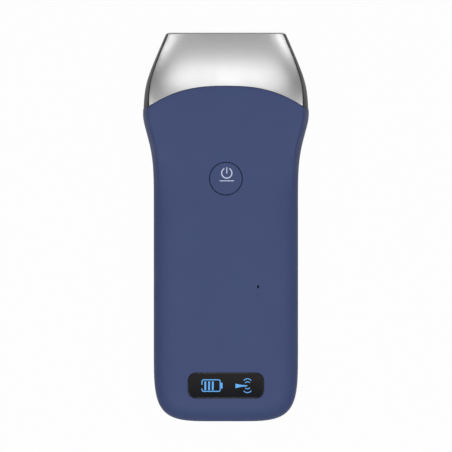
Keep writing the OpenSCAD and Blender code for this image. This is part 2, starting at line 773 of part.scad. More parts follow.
module button_boot() color(rubber) on_floor() translate([0, button_at, boot_z]) difference() {
    inner = button_r + flange_w + boot_gap;
    cylinder(h = flange_top - fit - boot_z, r = inner + boot_w);
    translate([0, 0, membrane_t]) cylinder(h = body_t, r = inner);
    translate([0, 0, -over]) cylinder(h = body_t, r = stem_r + glue);
}

// The window's top follows the cover, a little below it
window_rings = 4;
function window_top(share, k) =
    let (p = window_point(k, 0) * share, s = window_at + p[1])
    [p[0], s, seam_z + grip_z(p[0], s, 0) - window_sink];
module display_window() color([0.14, 0.13, 0.13]) on_floor() {
    n = window_steps;
    top = [for (j = [1:window_rings], k = [0:n - 1]) window_top(j / window_rings, k)];
    rim = [for (k = [0:n - 1]) let (p = window_point(k, 0)) [p[0], window_at + p[1], window_z]];
    last = (window_rings - 1) * n;
    middle = window_rings * n + n;
    fan = [for (k = [0:n - 1]) [middle, (k + 1) % n, k]];
    bands = flatten([for (j = [0:window_rings - 2], k = [0:n - 1])
        let (a = j * n, next = (k + 1) % n) two(a + k, a + n + k, a + n + next, a + next)]);
    walls = flatten([for (k = [0:n - 1])
        let (next = (k + 1) % n) two(last + k, last + n + k, last + n + next, last + next)]);
    polyhedron(concat(top, rim, [window_top(0, 0)]),
        concat(fan, bands, walls, [[for (k = [0:n - 1]) last + n + k]]));
}

module window_adhesive() color(rubber) on_floor() translate([0, 0, ledge_z])
    linear_extrude(tape_t) difference() {
        window_outline(-fit);
        window_outline(fit - tape_w);
    }

// The flap turns about the middle of its rounded side, next to its anchor
module port_flap() color(rubber) at_seam() {
    translate([-flap_w / 2, flap_t / 2, -flap_h / 2]) cylinder(h = flap_h, r = flap_t / 2);
    translate([-flap_w / 2, 0, -flap_h / 2]) cube([flap_w / 2 + flap_end, flap_t, flap_h]);
    translate([flap_end, 0, 0]) rotate([-90, 0, 0]) cylinder(h = flap_t, r = flap_h / 2);
    translate([-pip_w / 2, flap_t - fit, -pip_h / 2]) cube([pip_w, pip_len + fit, pip_h]);
}

module flap_anchor() color(rubber) at_seam() translate([anchor_x, 0, 0]) {
    translate([-anchor_w / 2, 0, -flap_h / 2]) cube([anchor_w, flap_t, flap_h]);
    rotate([-90, 0, 0]) cylinder(h = tail_wall + glue, r = barb_r);
    translate([0, tail_wall + glue, 0]) rotate([-90, 0, 0])
        cylinder(h = barb_r, r1 = barb_r + loose, r2 = barb_r / 2);
}

module case_screws() color(steel) on_floor() at_bosses() translate([0, 0, -screw_grip]) {
    cylinder(h = screw_len, r = screw_r);
    difference() {
        translate([0, 0, -screw_head_h]) cylinder(h = screw_head_h, r = screw_head_r);
        translate([0, 0, -screw_head_h - over])
            cylinder(h = over + screw_head_h / 2, r = screw_head_r / 2, $fn = 6);
    }
}

module screw_plugs() color(rubber) on_floor()
    at_bosses() translate([0, 0, -screw_grip - screw_head_h - glue - plug_t])
        cylinder(h = plug_t, r = well_r - fit);

module threaded_inserts() color(brass) on_floor()
    at_bosses() translate([0, 0, seam_gap / 2]) difference() {
        cylinder(h = insert_len, r = insert_r);
        translate([0, 0, -over]) cylinder(h = insert_len + 2 * over, r = screw_r + fit);
    }

module main_board() color(board_green) on_floor() difference() {
    block(main_w, main_at, main_end, main_z, board_t);
    translate([0, 0, main_z - over]) at_board_screws()
        cylinder(h = board_t + 2 * over, r = small_r + glue);
}

wifi_w = 14;
wifi_l = 16;
wifi_t = 0.8;
wifi_can_h = 1.3;
wifi_x = -10;
wifi_gap = 6;
wifi_at = main_at + wifi_gap;
wifi_jack = wifi_at + wifi_l * 0.1;

// Chips on the main board: across and width over the board's, place and length over the
// stretch between the radio module and the board's far end, and height over the board's
// thickness. The first two lie in the shield can, the last beside the radio module
chips_gap = 1;
chips_at = wifi_at + wifi_l + chips_gap;
chips_len = main_end - chips_at;
chip_shares = [[-0.36, 0.372, 0.3, 0.19, 1], [-0.36, 0.181, 0.22, 0.11, 0.8],
    [0.4, 0.536, 0.16, 0.11, 1.2], [0.55, 0.345, 0.14, 0.08, 0.75],
    [-0.4, 0.863, 0.2, 0.08, 0.75], [0.36, -0.1, 0.16, 0.07, 1.3]];
module processor_chips() color(chip_black) on_floor() for (c = chip_shares)
    let (s = chips_at + c[1] * chips_len, half = c[3] * chips_len / 2)
    block(c[2] * main_w, s - half, s + half, main_top, c[4] * board_t, c[0] * main_w / 2);

can_shares = [-0.36, 0.1, 0.494, 0.44];
can_h = 2.2;
module shield_can() color(steel) on_floor() translate([can_shares[0] * main_w / 2, 0, 0])
    can(can_shares[3] * main_w, chips_at + can_shares[1] * chips_len,
        chips_at + can_shares[2] * chips_len, main_top, can_h);

module wifi_module() color(steel) on_floor() {
    block(wifi_w, wifi_at, wifi_at + wifi_l, main_top, wifi_t, wifi_x);
    block(wifi_w * 0.85, wifi_at + wifi_l * 0.25, wifi_at + wifi_l * 0.95, main_top + wifi_t,
        wifi_can_h, wifi_x);
    translate([wifi_x, wifi_jack, main_top + wifi_t]) cylinder(h = wifi_t, r = wifi_t);
}

antenna_w = 26;
antenna_l = 7;
antenna_t = 0.2;
antenna_gap = 1.5;
antenna_at = tail_boss_at + antenna_gap;
antenna_z = seam_z + grip_z(antenna_w / 2, antenna_at, wall) - antenna_t - loose;
module antenna() color(polyimide) on_floor()
    block(antenna_w, antenna_at, antenna_at + antenna_l, antenna_z, antenna_t);

coax_r = 0.45;
module antenna_lead() color(rubber) on_floor() {
    start = [wifi_jack - wifi_t, main_top + wifi_t + coax_r + glue];
    finish = [antenna_at + antenna_l / 2, antenna_z - coax_r - fit];
    lead(concat(s_bend(start, finish, 8), [finish - [coax_r, 0]]), wifi_x, coax_r);
}

module switch_body() color(steel) on_floor() translate([0, button_at, main_top]) difference() {
    translate([-switch_w / 2, -switch_w / 2, 0]) cube([switch_w, switch_w, switch_h]);
    translate([0, 0, switch_h - plunger_in - button_travel - glue])
        cylinder(h = over, r = plunger_r + fit);
}

module switch_plunger() color(chip_black) on_floor()
    translate([0, button_at, plunger_top - plunger_out - plunger_in])
        cylinder(h = plunger_in + plunger_out, r = plunger_r);

module sounder() color(chip_black) on_floor() difference() {
    block(sounder_w, sounder_at - sounder_w / 2, sounder_at + sounder_w / 2, main_top,
        sounder_h, sounder_x);
    translate([sounder_x, sounder_at, main_top + sounder_h / 2]) cylinder(h = over, r = slot_r * 2);
}

module sounder_gasket() color(rubber) on_floor() {
    foot = main_top + sounder_h;
    roof = seam_z + grip_z(sounder_x + gasket_r, sounder_at, wall) - glue;
    translate([sounder_x, sounder_at, foot]) difference() {
        cylinder(h = roof - foot, r = gasket_r);
        translate([0, 0, -over]) cylinder(h = body_t, r = slot_r + slot_len);
    }
}

module chassis() color([0.72, 0.73, 0.75]) on_floor() difference() {
    union() {
        block(main_w - 2 * chassis_inset, main_at + chassis_inset, chassis_end, chassis_z, chassis_t);
        for (s = post_stations)
            block(2 * post_x, s - post_r, s + post_r, chassis_z, chassis_t);
        translate([0, 0, chassis_z]) at_posts() cylinder(h = chassis_t, r = post_r);
        translate([0, 0, chassis_z]) at_board_screws()
            cylinder(h = chassis_t + standoff_h, r = small_head_r + glue);
    }
    block(mezzanine_w + 2 * slot_margin, mezzanine_at - slot_margin,
        mezzanine_at + mezzanine_l + slot_margin, chassis_z - over, chassis_t + 2 * over);
    translate([0, 0, chassis_z - over]) at_posts()
        cylinder(h = chassis_t + 2 * over, r = small_r + glue);
    translate([0, 0, chassis_z - over]) at_board_screws()
        cylinder(h = chassis_t + standoff_h + 2 * over, r = small_r + fit);
}

// A small pan-head screw, its head seated at the given height
module small_screw(z, shank) translate([0, 0, z]) {
    translate([0, 0, -shank]) cylinder(h = shank, r = small_r);
    difference() {
        cylinder(h = small_head_h, r = small_head_r);
        translate([0, 0, small_head_h / 2]) cylinder(h = over, r = small_head_r / 2, $fn = 6);
    }
}
module chassis_screws() color(steel) on_floor()
    at_posts() small_screw(chassis_z + chassis_t, small_bite + chassis_t);
module board_screws() color(steel) on_floor()
    at_board_screws() small_screw(main_top, board_t + standoff_h + chassis_t - glue);
module tail_screws() color(steel) on_floor()
    at_tail_screws() small_screw(tail_board_top, small_bite + board_t);

module battery_cell() color([0.75, 0.76, 0.78]) on_floor()
    rounded_bar(cell_w, cell_at, cell_end, cell_z, cell_t, cell_round);

cell_part_shares = [-0.3, 0.05, 0.32];
module battery_board() color(board_green) on_floor() {
    z = cell_z + (cell_t - cell_board_h) / 2;
    block(cell_board_w, cell_board_at, cell_board_at + cell_board_l / 2, z, cell_board_h);
    for (x = cell_part_shares)
        block(cell_board_w / 5, cell_board_at + cell_board_l / 2, cell_board_at + cell_board_l,
            z + cell_board_h / 4, cell_board_h / 2, x * cell_board_w);
}

plug_x = -8;
plug_back = 1;
plug_at = tail_board_end - header_l - plug_back;
plug_end = plug_at + header_l * 1.3;
wire_r = 0.6;
module battery_connector() color([0.93, 0.92, 0.88]) on_floor() {
    block(plug_w, plug_at, plug_at + header_l, tail_board_top, plug_h, plug_x);
    block(plug_w * 0.8, plug_at + header_l, plug_end, tail_board_top + plug_h * 0.1,
        plug_h * 0.8, plug_x);
}
module battery_leads() color([0.7, 0.12, 0.1]) on_floor() for (side = [-1, 1]) {
    start = [plug_end, tail_board_top + plug_h / 2];
    finish = [cell_board_at, cell_z + cell_t / 2 + side * wire_r];
    lead(concat([start], s_bend(start + [wire_r, 0], finish - [wire_r, 0], 8), [finish]),
        plug_x + side * plug_w / 4, wire_r);
}

module battery_foam() color([0.25, 0.25, 0.27]) on_floor()
    block(cell_w - 2 * foam_inset, cell_at + foam_inset, cell_end - foam_inset, foam_z, foam_t);

// The coil: one flat wire that spirals out, ending towards the tail
coil_count = coil_turns * coil_steps;
function coil_point(k, edge) =
    let (a = 360 * k / coil_steps - 90, r = mix(coil_in_r, coil_r, k / coil_count) + edge)
    [r * cos(a), r * sin(a)];
module charging_coil() color([0.72, 0.42, 0.2]) on_floor() translate([0, coil_at, coil_z])
    linear_extrude(coil_t) polygon(concat([for (k = [0:coil_count]) coil_point(k, 0)],
        [for (k = [coil_count:-1:0]) coil_point(k, -coil_wire)]));

lead_slot = 1.2;
module ferrite_sheet() color([0.2, 0.2, 0.21]) on_floor() difference() {
    block(ferrite_w, coil_at - ferrite_w / 2, coil_at + ferrite_w / 2, ferrite_z, ferrite_t);
    block(lead_slot, coil_at - ferrite_w, coil_at - coil_in_r + over, ferrite_z - over,
        ferrite_t + 2 * over, -lead_x);
}

module coil_leads() color([0.72, 0.42, 0.2]) on_floor() {
    low = coil_z + coil_t / 2;
    high = ferrite_z + lead_r;
    up = [tail_board_end - tail_board_back, tail_board_z - fit];
    inner_end = [coil_at - coil_in_r + coil_wire / 2, high];
    outer_end = [coil_at - coil_r + coil_wire / 2, low];
    lead(concat([inner_end], rise([cell_at - over, high], up, 8)), -lead_x, lead_r);
    lead(concat([outer_end], rise([cell_at - over, low], up, 8)), lead_x, lead_r);
}

module tail_board() color(board_green) on_floor() difference() {
    block(tail_board_w, tail_board_at, tail_board_end, tail_board_z, board_t);
    translate([0, 0, tail_board_z - over]) at_tail_screws()
        cylinder(h = board_t + 2 * over, r = small_r + glue);
}

// Across, along, size over the board's width, height over the board's thickness
charger_shares = [[-0.55, 0.3, 0.17, 0.8], [0.55, 0.3, 0.15, 1.6], [0.5, 0.62, 0.09, 0.75],
    [-0.5, 0.6, 0.07, 0.75]];
module charger_chips() color(chip_black) on_floor() for (c = charger_shares) {
    size = c[2] * tail_board_w;
    s = mix(tail_board_at, tail_board_end, c[1]);
    block(size, s - size / 2, s + size / 2, tail_board_top, c[3] * board_t,
        c[0] * tail_board_w / 2);
}

// A rounded slot shape along the probe, round the seam plane
module slot_bar(w, h, s0, s1) {
    translate([-(w - h) / 2, s0, -h / 2]) cube([w - h, s1 - s0, h]);
    for (x = [-1, 1]) translate([x * (w - h) / 2, s0, 0]) rotate([-90, 0, 0])
        cylinder(h = s1 - s0, r = h / 2);
}
module usb_receptacle() color(steel) at_seam() {
    mouth = flap_t + recess_gap + fit;
    difference() {
        slot_bar(usb_w, usb_h, mouth, mouth + usb_len);
        slot_bar(usb_w - 2 * usb_shell, usb_h - 2 * usb_shell, mouth - over,
            mouth + usb_len - 3 * usb_shell);
    }
    block(tongue_w, mouth + tongue_in, mouth + usb_len - 2 * usb_shell, -tongue_t / 2, tongue_t);
}

module display_module() color([0.1, 0.11, 0.14]) on_floor()
    block(window_w - 2 * module_margin, window_at - window_l / 2 - module_margin,
        window_at + window_l / 2 + module_margin, module_z, module_t);

display_flex_w = 7;
display_bulge = 2.6;
power_flex_w = 5.6;
power_flex_x = 7.4;
flex_margin = 0.3;
flex_back = 0.8;
small_connector_l = 2.2;
tail_flex_mouth = tail_board_end - flex_back;
tail_flex_z = tail_board_top + connector_h / 2;
module display_flex() color(polyimide) on_floor() {
    top = [window_at + window_l / 2 + module_margin, module_z + module_t / 2];
    foot = [tail_flex_mouth, tail_flex_z];
    ribbon(u_bend(top, foot, display_bulge, 12), display_flex_w);
}

power_mouth = main_at + small_connector_l;
module power_flex() color(polyimide) on_floor() {
    start = [tail_flex_mouth, tail_flex_z];
    finish = [main_at - flex_t * 2, main_top + connector_h / 2];
    ribbon(concat(s_bend(start, finish, 10), [[power_mouth, finish[1]]]), power_flex_w,
        power_flex_x);
}

module afe_board() color(board_green) on_floor() block(afe_w, afe_at, afe_end, afe_z, board_t);

afe_can_gap = 1;
afe_can_at = mezzanine_at;
afe_can_end = chassis_end;
afe_can_w = 2 * (afe_post_x - afe_post_r - afe_can_gap);
afe_chip_h = 1.2;
afe_chip_shares = [0.09, 0.55];
afe_chip_share = 0.36;
module afe_chips() color(chip_black) on_floor() {
    l = afe_can_end - afe_can_at;
    for (x = [-1, 1], share = afe_chip_shares)
        block(afe_can_w * afe_chip_share, afe_can_at + share * l,
            afe_can_at + (share + afe_chip_share) * l, afe_z - afe_chip_h, afe_chip_h,
            x * afe_can_w / 4);
}
module afe_shield() color(steel) on_floor() translate([0, 0, afe_z]) mirror([0, 0, 1])
    can(afe_can_w, afe_can_at, afe_can_end, 0, can_h);

module thermal_pad() color([0.55, 0.6, 0.66]) on_floor()
    block(pad_w, mezzanine_at + mezzanine_l + 2 * slot_margin, chassis_end - slot_margin,
        afe_top, pad_t);

module mezzanine_connector() color([0.85, 0.83, 0.76]) on_floor()
    block(mezzanine_w, mezzanine_at, mezzanine_at + mezzanine_l, afe_top, main_z - afe_top);

module flex_connectors() color([0.85, 0.83, 0.76]) on_floor() {
    for (z = [afe_top, afe_z - connector_h])
        block(connector_w, connector_at, connector_at + connector_l, z, connector_h);
    tail_connector_at = tail_flex_mouth - small_connector_l;
    power_w = power_flex_w + 2 * flex_margin;
    block(display_flex_w + 2 * flex_margin, tail_connector_at, tail_flex_mouth,
        tail_board_top, connector_h);
    block(power_w, tail_connector_at, tail_flex_mouth, tail_board_top, connector_h, power_flex_x);
    block(power_w, power_mouth, power_mouth + small_connector_l, main_top, connector_h,
        power_flex_x);
}

flex_z = array_h / 2 - flex_t / 2;
flex_straight = 1;
module array_flex(z) {
    start = [ceramic_at - fit, flex_z];
    turn = [backing_at - flex_straight, flex_z];
    finish = [connector_at + connector_l, z];
    ribbon(concat([start], s_bend(turn, finish + [flex_straight, 0], 10), [finish]),
        array_flex_w);
}
module array_flex_front() color(polyimide) at_seam()
    array_flex(afe_top + connector_h / 2 - seam_z);
module array_flex_rear() color(polyimide) at_seam() mirror([0, 0, 1])
    array_flex(seam_z - afe_z + connector_h / 2);

module array_frame() color([0.72, 0.73, 0.75]) at_seam() difference() {
    w = opening_w + 2 * frame_side;
    h = opening_h + 2 * frame_face;
    block(w, frame_front - frame_len, frame_front, -h / 2, h);
    block(opening_w, 0, probe_len, -opening_h / 2, opening_h);
}

module backing_block() color([0.32, 0.3, 0.29]) at_seam() {
    h = array_h - 2 * flex_t - 2 * glue;
    block(array_w, backing_at, ceramic_at, -h / 2, h);
}

// The row of elements: a comb that the saw cuts left on a thin base
kerf_share = 0.15;
base_share = 0.2;
module piezo_array() color([0.85, 0.8, 0.62]) at_seam() {
    pitch = array_w / element_count;
    half = pitch * (1 - kerf_share) / 2;
    teeth = flatten([for (k = [0:element_count - 1])
        let (x = (k + 0.5) * pitch - array_w / 2)
        [[x - half, base_share], [x - half, 1], [x + half, 1], [x + half, base_share]]]);
    side = array_w / 2 - pitch / 2 + half;
    outline = [for (p = concat(teeth, [[side, 0], [-side, 0]]))
        [p[0], ceramic_at + p[1] * ceramic_t]];
    linear_extrude(array_h, center = true) polygon(outline);
}

module matching_layers() color([0.3, 0.42, 0.4]) at_seam() {
    block(array_w, matching_at, matching_at + matching_t / 2, -array_h / 2, array_h);
    block(array_w, matching_at + matching_t / 2, matching_at + matching_t, -array_h / 2, array_h);
}

front_cover();
rear_cover();
head_shell();
front_fascia();
rear_fascia();
acoustic_lens();
head_gasket();
seam_gasket();
power_button();
button_boot();
display_window();
window_adhesive();
port_flap();
flap_anchor();
case_screws();
screw_plugs();
threaded_inserts();
main_board();
processor_chips();
shield_can();
wifi_module();
antenna();
antenna_lead();
switch_body();
switch_plunger();
sounder();
sounder_gasket();
chassis();
chassis_screws();
board_screws();
battery_cell();
battery_board();
battery_leads();
battery_connector();
battery_foam();
charging_coil();
ferrite_sheet();
coil_leads();
tail_board();
tail_screws();
charger_chips();
usb_receptacle();
display_module();
display_flex();
power_flex();
afe_board();
afe_chips();
afe_shield();
thermal_pad();
mezzanine_connector();
flex_connectors();
array_flex_front();
array_flex_rear();
array_frame();
backing_block();
piezo_array();
matching_layers();
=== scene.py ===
import json
import math

import bmesh
import bpy
import numpy as np
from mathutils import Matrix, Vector

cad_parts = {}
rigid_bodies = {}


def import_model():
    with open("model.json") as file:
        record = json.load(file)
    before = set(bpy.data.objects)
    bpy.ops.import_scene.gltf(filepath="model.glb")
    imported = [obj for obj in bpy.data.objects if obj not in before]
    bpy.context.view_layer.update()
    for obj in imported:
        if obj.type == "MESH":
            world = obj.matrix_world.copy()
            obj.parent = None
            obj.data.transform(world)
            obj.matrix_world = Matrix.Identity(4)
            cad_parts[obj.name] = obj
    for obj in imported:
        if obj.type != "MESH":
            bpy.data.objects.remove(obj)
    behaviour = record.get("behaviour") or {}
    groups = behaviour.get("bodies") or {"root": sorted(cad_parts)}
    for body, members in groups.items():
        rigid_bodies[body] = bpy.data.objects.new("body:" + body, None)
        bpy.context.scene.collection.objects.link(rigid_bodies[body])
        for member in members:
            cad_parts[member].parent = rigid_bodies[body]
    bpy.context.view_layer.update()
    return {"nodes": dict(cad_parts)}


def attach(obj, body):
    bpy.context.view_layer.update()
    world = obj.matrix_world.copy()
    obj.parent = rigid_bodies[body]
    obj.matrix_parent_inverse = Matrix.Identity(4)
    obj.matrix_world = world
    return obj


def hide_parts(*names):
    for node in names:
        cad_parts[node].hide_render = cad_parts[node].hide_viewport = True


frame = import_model()
scene = bpy.context.scene

# Sizes of the source, in millimetres. A station runs from the tail end.
LEN, GRIP_W, HEAD_W, END_W, BODY_T, END_T = 156.0, 58.0, 66.66, 48.0, 20.0, 12.8
TAIL_LEN, TAIL_TIP_W, TAIL_POWER = 33.8, 24.0, 4.95
TAIL_ROUND, TAIL_TIP_T, ROUND_POWER = 12.0, 11.0, 3.0
HEAD_LEN, FLARE_LEN, TAPER_LEN, BEND, SLOPE_LEN = 32.7, 39.4, 21.0, 6.8, 30.0
SOFT, BAND_W, BAND_END, CROWN, SINK = 3.6, 2.1, 0.7, 1.2, 0.5
WALL, TAIL_WALL, SEAM_GAP = 1.8, 3.0, 0.3
BROW_LEN, BROW_DROP, STEP, FASCIA_T, RIM_W, HEAD_WALL = 21.4, 8.4, 0.15, 0.8, 0.25, 1.6
SHOULDER_AT, SLOPE_AT = LEN - HEAD_LEN, LEN - SLOPE_LEN
FLARE_AT, TAPER_AT, BROW_AT = SHOULDER_AT - FLARE_LEN, LEN - TAPER_LEN, LEN - BROW_LEN
HEAD_END, SEAM_Z, EDGE = LEN - 0.5, BODY_T / 2, 1 / 3
COVER_GAP, HEAD_GAP = 0.14, 0.0
BUTTON_AT, BUTTON_R, HOLE_R, RING_ROLL = LEN - 58.6, 6.4, 6.75, 0.06
CAP_TOP, DISH = 19.95, 0.05
WINDOW_AT, WINDOW_W, WINDOW_L, PANE_ROLL = 14.4, 30.4, 10.2, 0.12
FLARE_POWER, BAND_POWER, BROW_POWER, BROW_SLOPE = 2.33, 1.5, 2.55, 0.3
CROWN_EVEN, CROWN_EDGE = 0.35, 0.65
SLOT_X, SLOT_AT, SLOT_W, SLOT_L = 12.9, 54.0, 0.7, 1.3
WELL_R, WELL_TOP, WELLS = 2.1, 4.6, ((21.5, 23.0), (25.96, 113.0))
FLAP_W, FLAP_H, FLAP_T, RECESS_END = 14.0, 6.4, 1.2, -10.0
MOUTH_W, MOUTH_H, LOOSE, PANE_CORNER, PANE_LOW = 9.2, 3.5, 0.15, 3.6, 18.7
# Clearance under a silver skin, walls of the head, its neck and the lens's opening
SKIN_GAP, END_WALL, SIDE_WALL = 0.05, 1.6, 2.8
NECK_GAP, NECK_WALL, NECK_LEN, LENS_W, LENS_T = 0.2, 1.4, 4.0, 19.8, 3.4
# The photograph's scale, the object's middle in it, and the side of its frame
PIXEL, PHOTO_X, PHOTO_Y, FRAME = 0.4018, 225.37, 226.45, 452
MM = 0.001


def clamp01(v):
    return np.clip(v, 0, 1)


def smooth(u):
    return u * u * (3 - 2 * u)


def mix(a, b, k):
    return a + (b - a) * k


def end_share(d, length, tip, power):
    return (1 - (1 - tip**power) * clamp01(1 - d / length) ** power) ** (1 / power)


def tail_in(inset):
    return inset * TAIL_WALL / WALL


def bend(d):
    return (d + np.sqrt(d * d + BEND * BEND)) / 2


BEND_START = bend(SHOULDER_AT - TAPER_AT)
TAPER_SLOPE = (HEAD_W - END_W) / 2 / (bend(TAPER_LEN) - BEND_START)


def half_w(s, inset=0.0):
    t = tail_in(inset)
    w = (GRIP_W / 2 - inset) * end_share(s - t, TAIL_LEN - t, TAIL_TIP_W / GRIP_W, TAIL_POWER)
    w = w + (HEAD_W - GRIP_W) / 2 * smooth(clamp01((s - FLARE_AT) / FLARE_LEN) ** FLARE_POWER)
    return w - np.where(s > SHOULDER_AT, TAPER_SLOPE * (bend(s - TAPER_AT) - BEND_START), 0)


def flare_share(s):
    return smooth(clamp01((s - FLARE_AT) / FLARE_LEN))


def half_t(s, inset=0.0, sink=0.0):
    t = tail_in(inset)
    h = BODY_T / 2 - inset + sink * (1 - flare_share(s))
    h = h * end_share(s - t, TAIL_ROUND - t, TAIL_TIP_T / BODY_T, ROUND_POWER)
    return h - (BODY_T - END_T) / 2 * clamp01((s - SLOPE_AT) / SLOPE_LEN) ** 2


def band(s):
    return BAND_END + (BAND_W - BAND_END) * clamp01((LEN - s) / HEAD_LEN) ** BAND_POWER


def face_drop(w, share):
    return CROWN * w / (HEAD_W / 2) * (CROWN_EVEN * share**2 + CROWN_EDGE * share**8)


def crisp_point(t, w, h, b, crown=1.0):
    v, u = t / EDGE, (1 - t) / (1 - EDGE)
    side = t < EDGE
    return (np.where(side, w - b * v * v, (w - b) * u),
            np.where(side, (h - crown * face_drop(w, 1)) * v, h - crown * face_drop(w, u)))


def quarter_point(t, s, inset=0.0, sink=0.0):
    w, h, k = half_w(s, inset), half_t(s, inset, sink), flare_share(s)
    a = math.pi / 2 * t
    x0 = w * np.abs(np.cos(a)) ** (2 / SOFT)
    z0 = h * np.abs(np.sin(a)) ** (2 / SOFT)
    x1, z1 = crisp_point(t, w, h, band(s))
    return mix(x0, x1, k), mix(z0, z1, k)


def skin_z(x, s):
    """Height of the front skin over the rest face, at a place on the covers."""
    w, h, k = half_w(s), half_t(s), flare_share(s)
    soft = h * (1 - clamp01(np.abs(x) / w) ** SOFT) ** (1 / SOFT)
    crisp = h - face_drop(w, np.minimum(1, np.abs(x) / (w - band(s))))
    return SEAM_Z + mix(soft, crisp, k)


BROW_X = HEAD_W / 2 - BAND_W


def brow(x):
    x = np.abs(x)
    return (BROW_AT - BROW_DROP * (np.minimum(x, BROW_X) / BROW_X) ** BROW_POWER
            - BROW_SLOPE * np.maximum(0, x - BROW_X))


def edge_at(t):
    s = np.full_like(np.asarray(t, float), SHOULDER_AT)
    for _ in range(4):
        s = brow(quarter_point(t, s)[0])
    return s


def pixel(x, y):
    """A place on the front, in millimetres, from a place in the photograph."""
    return (x - PHOTO_X) * PIXEL, LEN / 2 + (PHOTO_Y - y) * PIXEL


# Meshes


def piece(name, verts, faces, angle=30, body="probe", stands_for=(), slot=None, material=None):
    """A mesh from points in millimetres, with station and height as they are in the source."""
    v = np.asarray(verts, float).reshape(-1, 3) * MM
    v[:, 1] -= LEN / 2 * MM
    me = bpy.data.meshes.new(name)
    me.from_pydata(v.tolist(), [], [list(map(int, f)) for f in faces])
    return dress(name, me, angle, body, stands_for, material)


def dress(name, me, angle=30, body="probe", stands_for=(), material=None):
    tidy(me, angle)
    o = bpy.data.objects.new(name, me)
    scene.collection.objects.link(o)
    if material:
        me.materials.append(material)
    if body:
        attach(o, body)
    if stands_for:
        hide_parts(*stands_for)
    return o


def tidy(me, angle):
    bm = bmesh.new()
    bm.from_mesh(me)
    bmesh.ops.remove_doubles(bm, verts=bm.verts, dist=2e-7)
    bmesh.ops.dissolve_degenerate(bm, edges=bm.edges, dist=1e-7)
    bmesh.ops.recalc_face_normals(bm, faces=bm.faces)
    bm.to_mesh(me)
    bm.free()
    me.shade_smooth()
    me.set_sharp_from_angle(angle=math.radians(angle))


def grid(rows, cols, start=0, wrap=False, flip=False):
    last = cols if wrap else cols - 1
    out = []
    for j in range(rows - 1):
        for i in range(last):
            a, b = start + j * cols + i, start + j * cols + (i + 1) % cols
            out.append((a, b, b + cols, a + cols))
    return [f[::-1] for f in out] if flip else out


def revolve(profile, at, n=96):
    """Points and faces of a closed turned solid round the z axis at a place (x, station)."""
    p = np.array(profile, float)
    a = np.linspace(0, 2 * math.pi, n, endpoint=False)
    v = np.stack([at[0] + p[:, :1] * np.cos(a), at[1] + p[:, :1] * np.sin(a),
                  np.repeat(p[:, 1:], n, 1)], -1)
    return v.reshape(-1, 3), grid(len(p), n, wrap=True) + grid_ends(len(p), n)


def grid_ends(rows, n):
    return [tuple(range(n))[::-1], tuple((rows - 1) * n + i for i in range(n))]


def prism(outline, low, high, up="z"):
    """Points and faces of an outline swept along z, or along the stations for up y."""
    o = np.array(outline, float)
    n = len(o)
    rows = []
    for level in (low, high):
        e = np.full(n, float(level))
        rows.append(np.stack([o[:, 0], o[:, 1], e] if up == "z" else [o[:, 0], e, o[:, 1]], -1))
    return np.concatenate(rows), grid(2, n, wrap=True) + grid_ends(2, n)


def stadium(x0, x1, y0, y1, n=16, round_left=True):
    """Outline of a bar with a round right end, and a round left end if asked."""
    r, c = (y1 - y0) / 2, (y0 + y1) / 2
    right = [(x1 - r + r * math.cos(a), c + r * math.sin(a))
             for a in np.linspace(-math.pi / 2, math.pi / 2, n)]
    left = [(x0 + r + r * math.cos(a), c + r * math.sin(a))
            for a in np.linspace(math.pi / 2, 3 * math.pi / 2, n)]
    if not round_left:
        left = [(x0, y1), (x0, y0)]
    return right + left


def cut(o, *cutters):
    """Cuts solids, given as points and faces, out of a closed piece."""
    for k, (v, f) in enumerate(cutters):
        c = piece(f"cutter{k}", v, f, body=None)
        m = o.modifiers.new("cut", "BOOLEAN")
        m.object = c
        m.operation = "DIFFERENCE"
        m.solver = "MANIFOLD"
    bpy.context.view_layer.update()
    got = bpy.data.meshes.new_from_object(o.evaluated_get(bpy.context.evaluated_depsgraph_get()))
    old = o.data
    o.modifiers.clear()
    o.data = got
    bpy.data.meshes.remove(old)
    for c in [x for x in bpy.data.objects if x.name.startswith("cutter")]:
        bpy.data.objects.remove(c)
    tidy(o.data, 30)


def soften(o, width, segments=2):
    m = o.modifiers.new("edges", "BEVEL")
    m.width, m.segments = width * MM, segments
    m.limit_method, m.angle_limit = "ANGLE", math.radians(35)
    return o


# Materials


def srgb(r, g, b):
    return tuple(c / 12.92 / 255 if c <= 10 else ((c / 255 + 0.055) / 1.055) ** 2.4
                 for c in (r, g, b)) + (1.0,)


